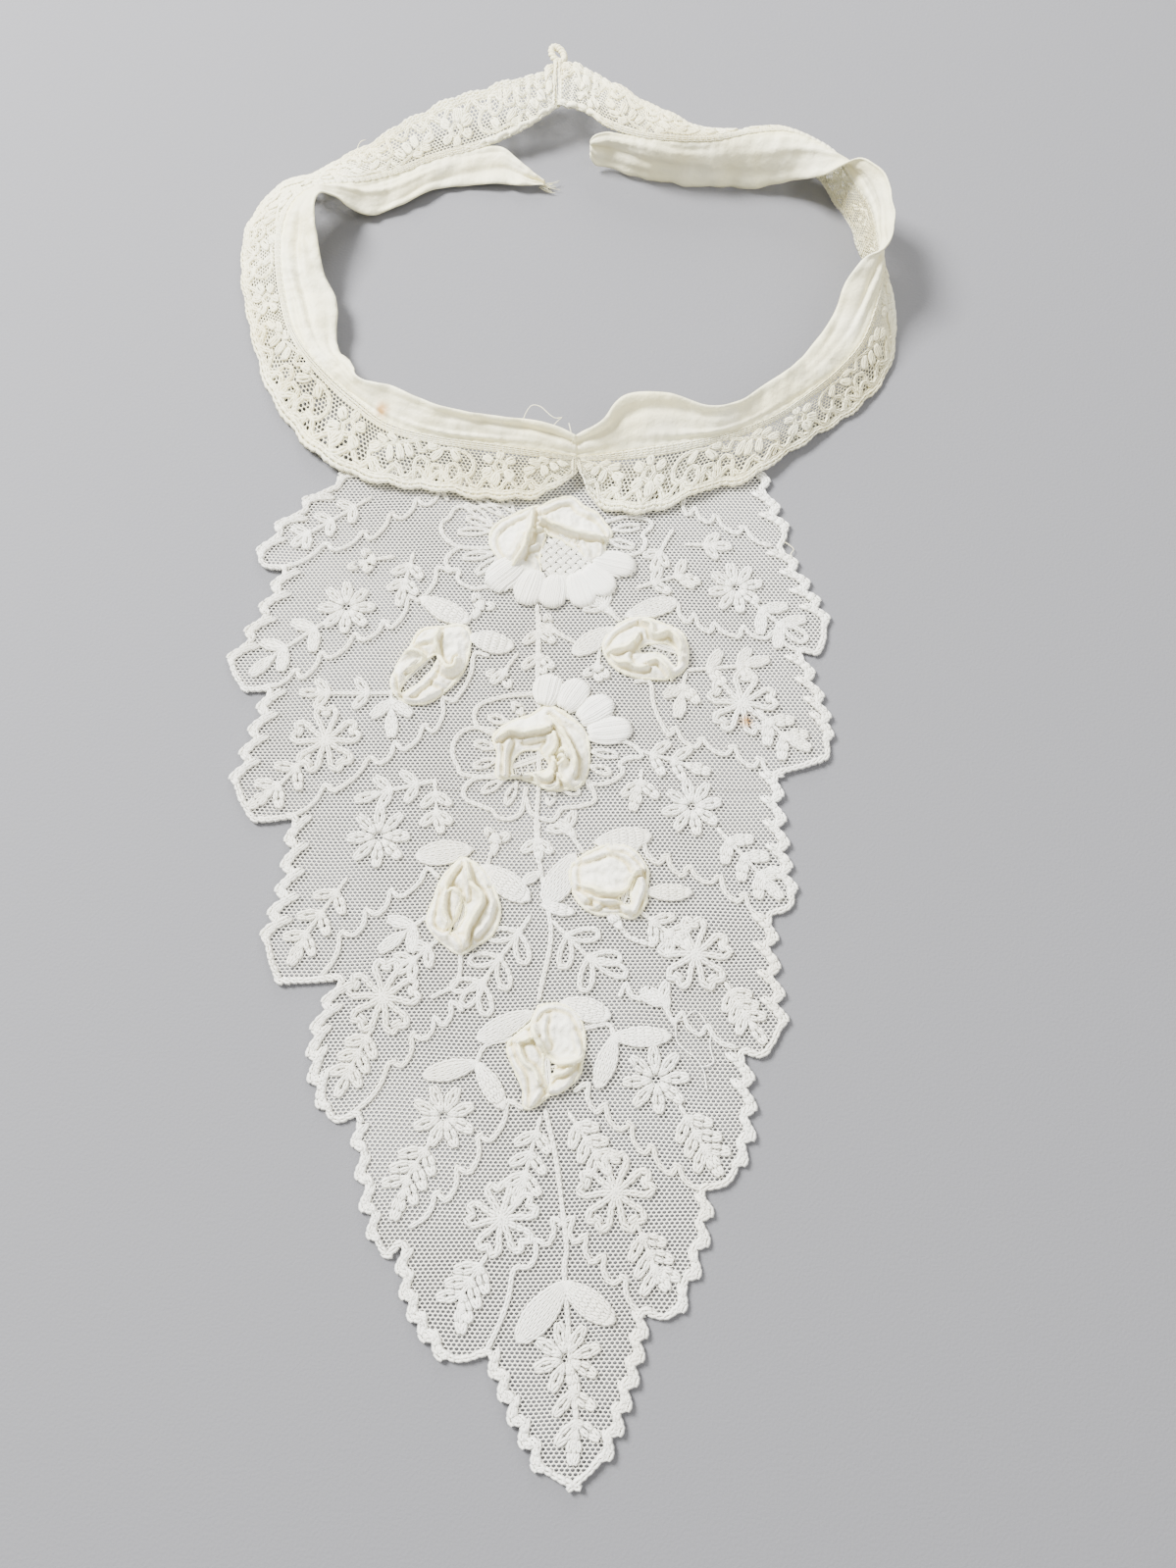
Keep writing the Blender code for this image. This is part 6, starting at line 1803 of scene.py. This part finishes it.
def across_cloth(finish):
    """The share of the cloth's width at each place, from its own map."""
    place = add_node(finish.tree, "ShaderNodeUVMap", uv_map=CLOTH_MAP)["UV"]
    return add_node(finish.tree, "ShaderNodeSeparateXYZ", {"Vector": place})["Y"]


silk = new_finish("silk", roughness=0.5, sheen=0.1)
plain_silk = shaded(silk, noise(silk, per_metre=90, detail=3.0), PLAIN_SHADES)
seam_silk = shaded(silk, noise(silk, per_metre=70), SEAM_SHADES)
from_middle = reckoned(silk, "ABSOLUTE", reckoned(silk, "SUBTRACT", across_cloth(silk), 0.52), 0)
at_edges = shaded(silk, from_middle, BLACK_TO_WHITE, start=0.2, end=0.5)
aged_silk = mixed(silk, at_edges, plain_silk, seam_silk)
colour_with(silk, stained(silk, aged_silk, RUST_PLACE, RUST_REACH))
crumpled = reckoned(silk, "MULTIPLY", noise(silk, per_metre=330, detail=4.0), 18)
grain = reckoned(silk, "MULTIPLY", noise(silk, per_metre=2100, detail=3.0), 2)
roughen(silk, reckoned(silk, "ADD", crumpled, grain), depth=0.00004, strength=0.8)

silk_strips = {}
for side, sections, tail in (
    ("left", LEFT_STRIP[:SILK_ROWS_LEFT], LEFT_TAIL),
    ("right", RIGHT_STRIP[:SILK_ROWS_RIGHT], RIGHT_TAIL),
):
    strip = strip_surface(strip_rows(sections, "silk", tail), SILK_STATIONS, SILK_CELLS, creases)
    band = thin_wall(f"silk_{side}", strip, SILK_WALL, silk)
    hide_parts(f"neckband_{side}")
    silk_strips[side] = (band, strip)

chance = random.Random(FRAY_SEED)
frays = []
share = np.linspace(0, 1, 7)[:, None]
for _ in range(FRAYS):
    start, reach = (np.array([chance.uniform(*span) for span in spans]) for spans in (FRAY_START, FRAY_REACH))
    bend = np.array([0.0] + [chance.uniform(*span) for span in FRAY_BEND])
    line = np.array(FRAYED_END) + start + reach * share + bend * np.sin(math.pi * share)
    line[:, 2] = np.maximum(line[:, 2], FRAY_LOWEST)
    frays.append((line, FRAY_THREAD))
fray = tubes("silk_frays", frays, silk)
for side, loose_ends in (("left", [fray]), ("right", [])):
    band, strip = silk_strips[side]


# Loose ends of sewing cotton stand out at the front of the silk, at the lace's edge and on the bib,
# which is mended with two fine threads near its right edge.
LOOSE_THREADS = (
    ((-12.2, 8.0, 9.6), (-11.4, 9.9, 9.8), (-10.1, 11.4, 10.0), (-8.0, 11.0, 10.0), (-5.6, 8.8, 9.7),
     (-4.2, 8.2, 9.4), (-2.7, 8.6, 9.2)),
    ((-2.9, 8.4, 9.2), (-3.9, 7.6, 9.0), (-4.8, 6.6, 8.8)),
    ((-1.1, 7.6, 8.2), (-0.7, 5.6, 8.4), (-0.2, 3.6, 7.2), (-1.0, 2.0, 6.2)),
    ((-59.0, 92.8, 3.4), (-58.6, 95.2, 4.0), (-57.8, 97.0, 4.2), (-56.6, 97.8, 4.0)),
    ((-69.9, 12.8, 1.6), (-71.5, 13.8, 1.2), (-72.6, 13.2, 1.0), (-71.9, 12.0, 1.1), (-70.2, 11.8, 1.6)),
    ((51.2, -20.6, 1.0), (52.8, -21.6, 0.9), (54.0, -22.9, 0.8), (53.2, -24.2, 0.8), (54.2, -25.8, 0.8)),
)
MENDS = (
    ((22.4, -137.1), (22.8, -136.1), (24.1, -136.1), (26.2, -134.3), (27.5, -134.5), (28.8, -136.1),
     (29.5, -138.1), (30.2, -139.2), (30.0, -141.2), (30.4, -143.3), (30.9, -145.1), (29.5, -146.0),
     (28.2, -146.2)),
    ((22.4, -137.4), (22.8, -140.5), (24.5, -142.5), (26.9, -144.3), (28.6, -146.6), (29.1, -148.3),
     (29.4, -151.0)),
)
MEND_HEIGHT = 0.45
LOOSE_THREAD, MEND_THREAD = 0.11, 0.143
THREAD_STEP = 0.4

loose = [(smooth_line(path, THREAD_STEP), LOOSE_THREAD) for path in LOOSE_THREADS]
loose_work = tubes("loose_threads", loose, lace_cotton, sides=5)
mends = [(raised(smooth_line(path, THREAD_STEP), MEND_HEIGHT), MEND_THREAD) for path in MENDS]
mend_work = tubes("bib_mends", mends, work_cotton, sides=5)
reshape(mend_work, settled)


# The back loop is a short length of two-ply cream cord, closed on itself behind the neck.
LOOP_CENTRE = (-4.6, 121.0, 9.4)
LOOP_HALF_WIDTH = 1.6
LOOP_HALF_LENGTH = 2.5
LOOP_LEAN = -0.32
LOOP_PLY = 0.55
LOOP_TWIST_RADIUS = 0.42
LOOP_TWISTS = 7
LOOP_STATIONS = 112

plies = []
for ply in (0.0, math.pi):
    turn = np.linspace(0, 2 * math.pi, LOOP_STATIONS + 1)
    outward = np.stack((np.cos(turn), np.sin(turn), 0 * turn), axis=1)
    ring = np.array(LOOP_CENTRE) + outward * (LOOP_HALF_WIDTH, LOOP_HALF_LENGTH, 0)
    ring[:, 0] += LOOP_LEAN * (ring[:, 1] - LOOP_CENTRE[1])
    twist = (LOOP_TWISTS * turn + ply)[:, None]
    off_middle = outward * np.cos(twist) + np.sin(twist) * np.array((0.0, 0.0, 1.0))
    plies.append((ring + LOOP_TWIST_RADIUS * off_middle, LOOP_PLY))
loop = tubes("loop_cord", plies, lace_cotton, sides=7)
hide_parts("back_loop")
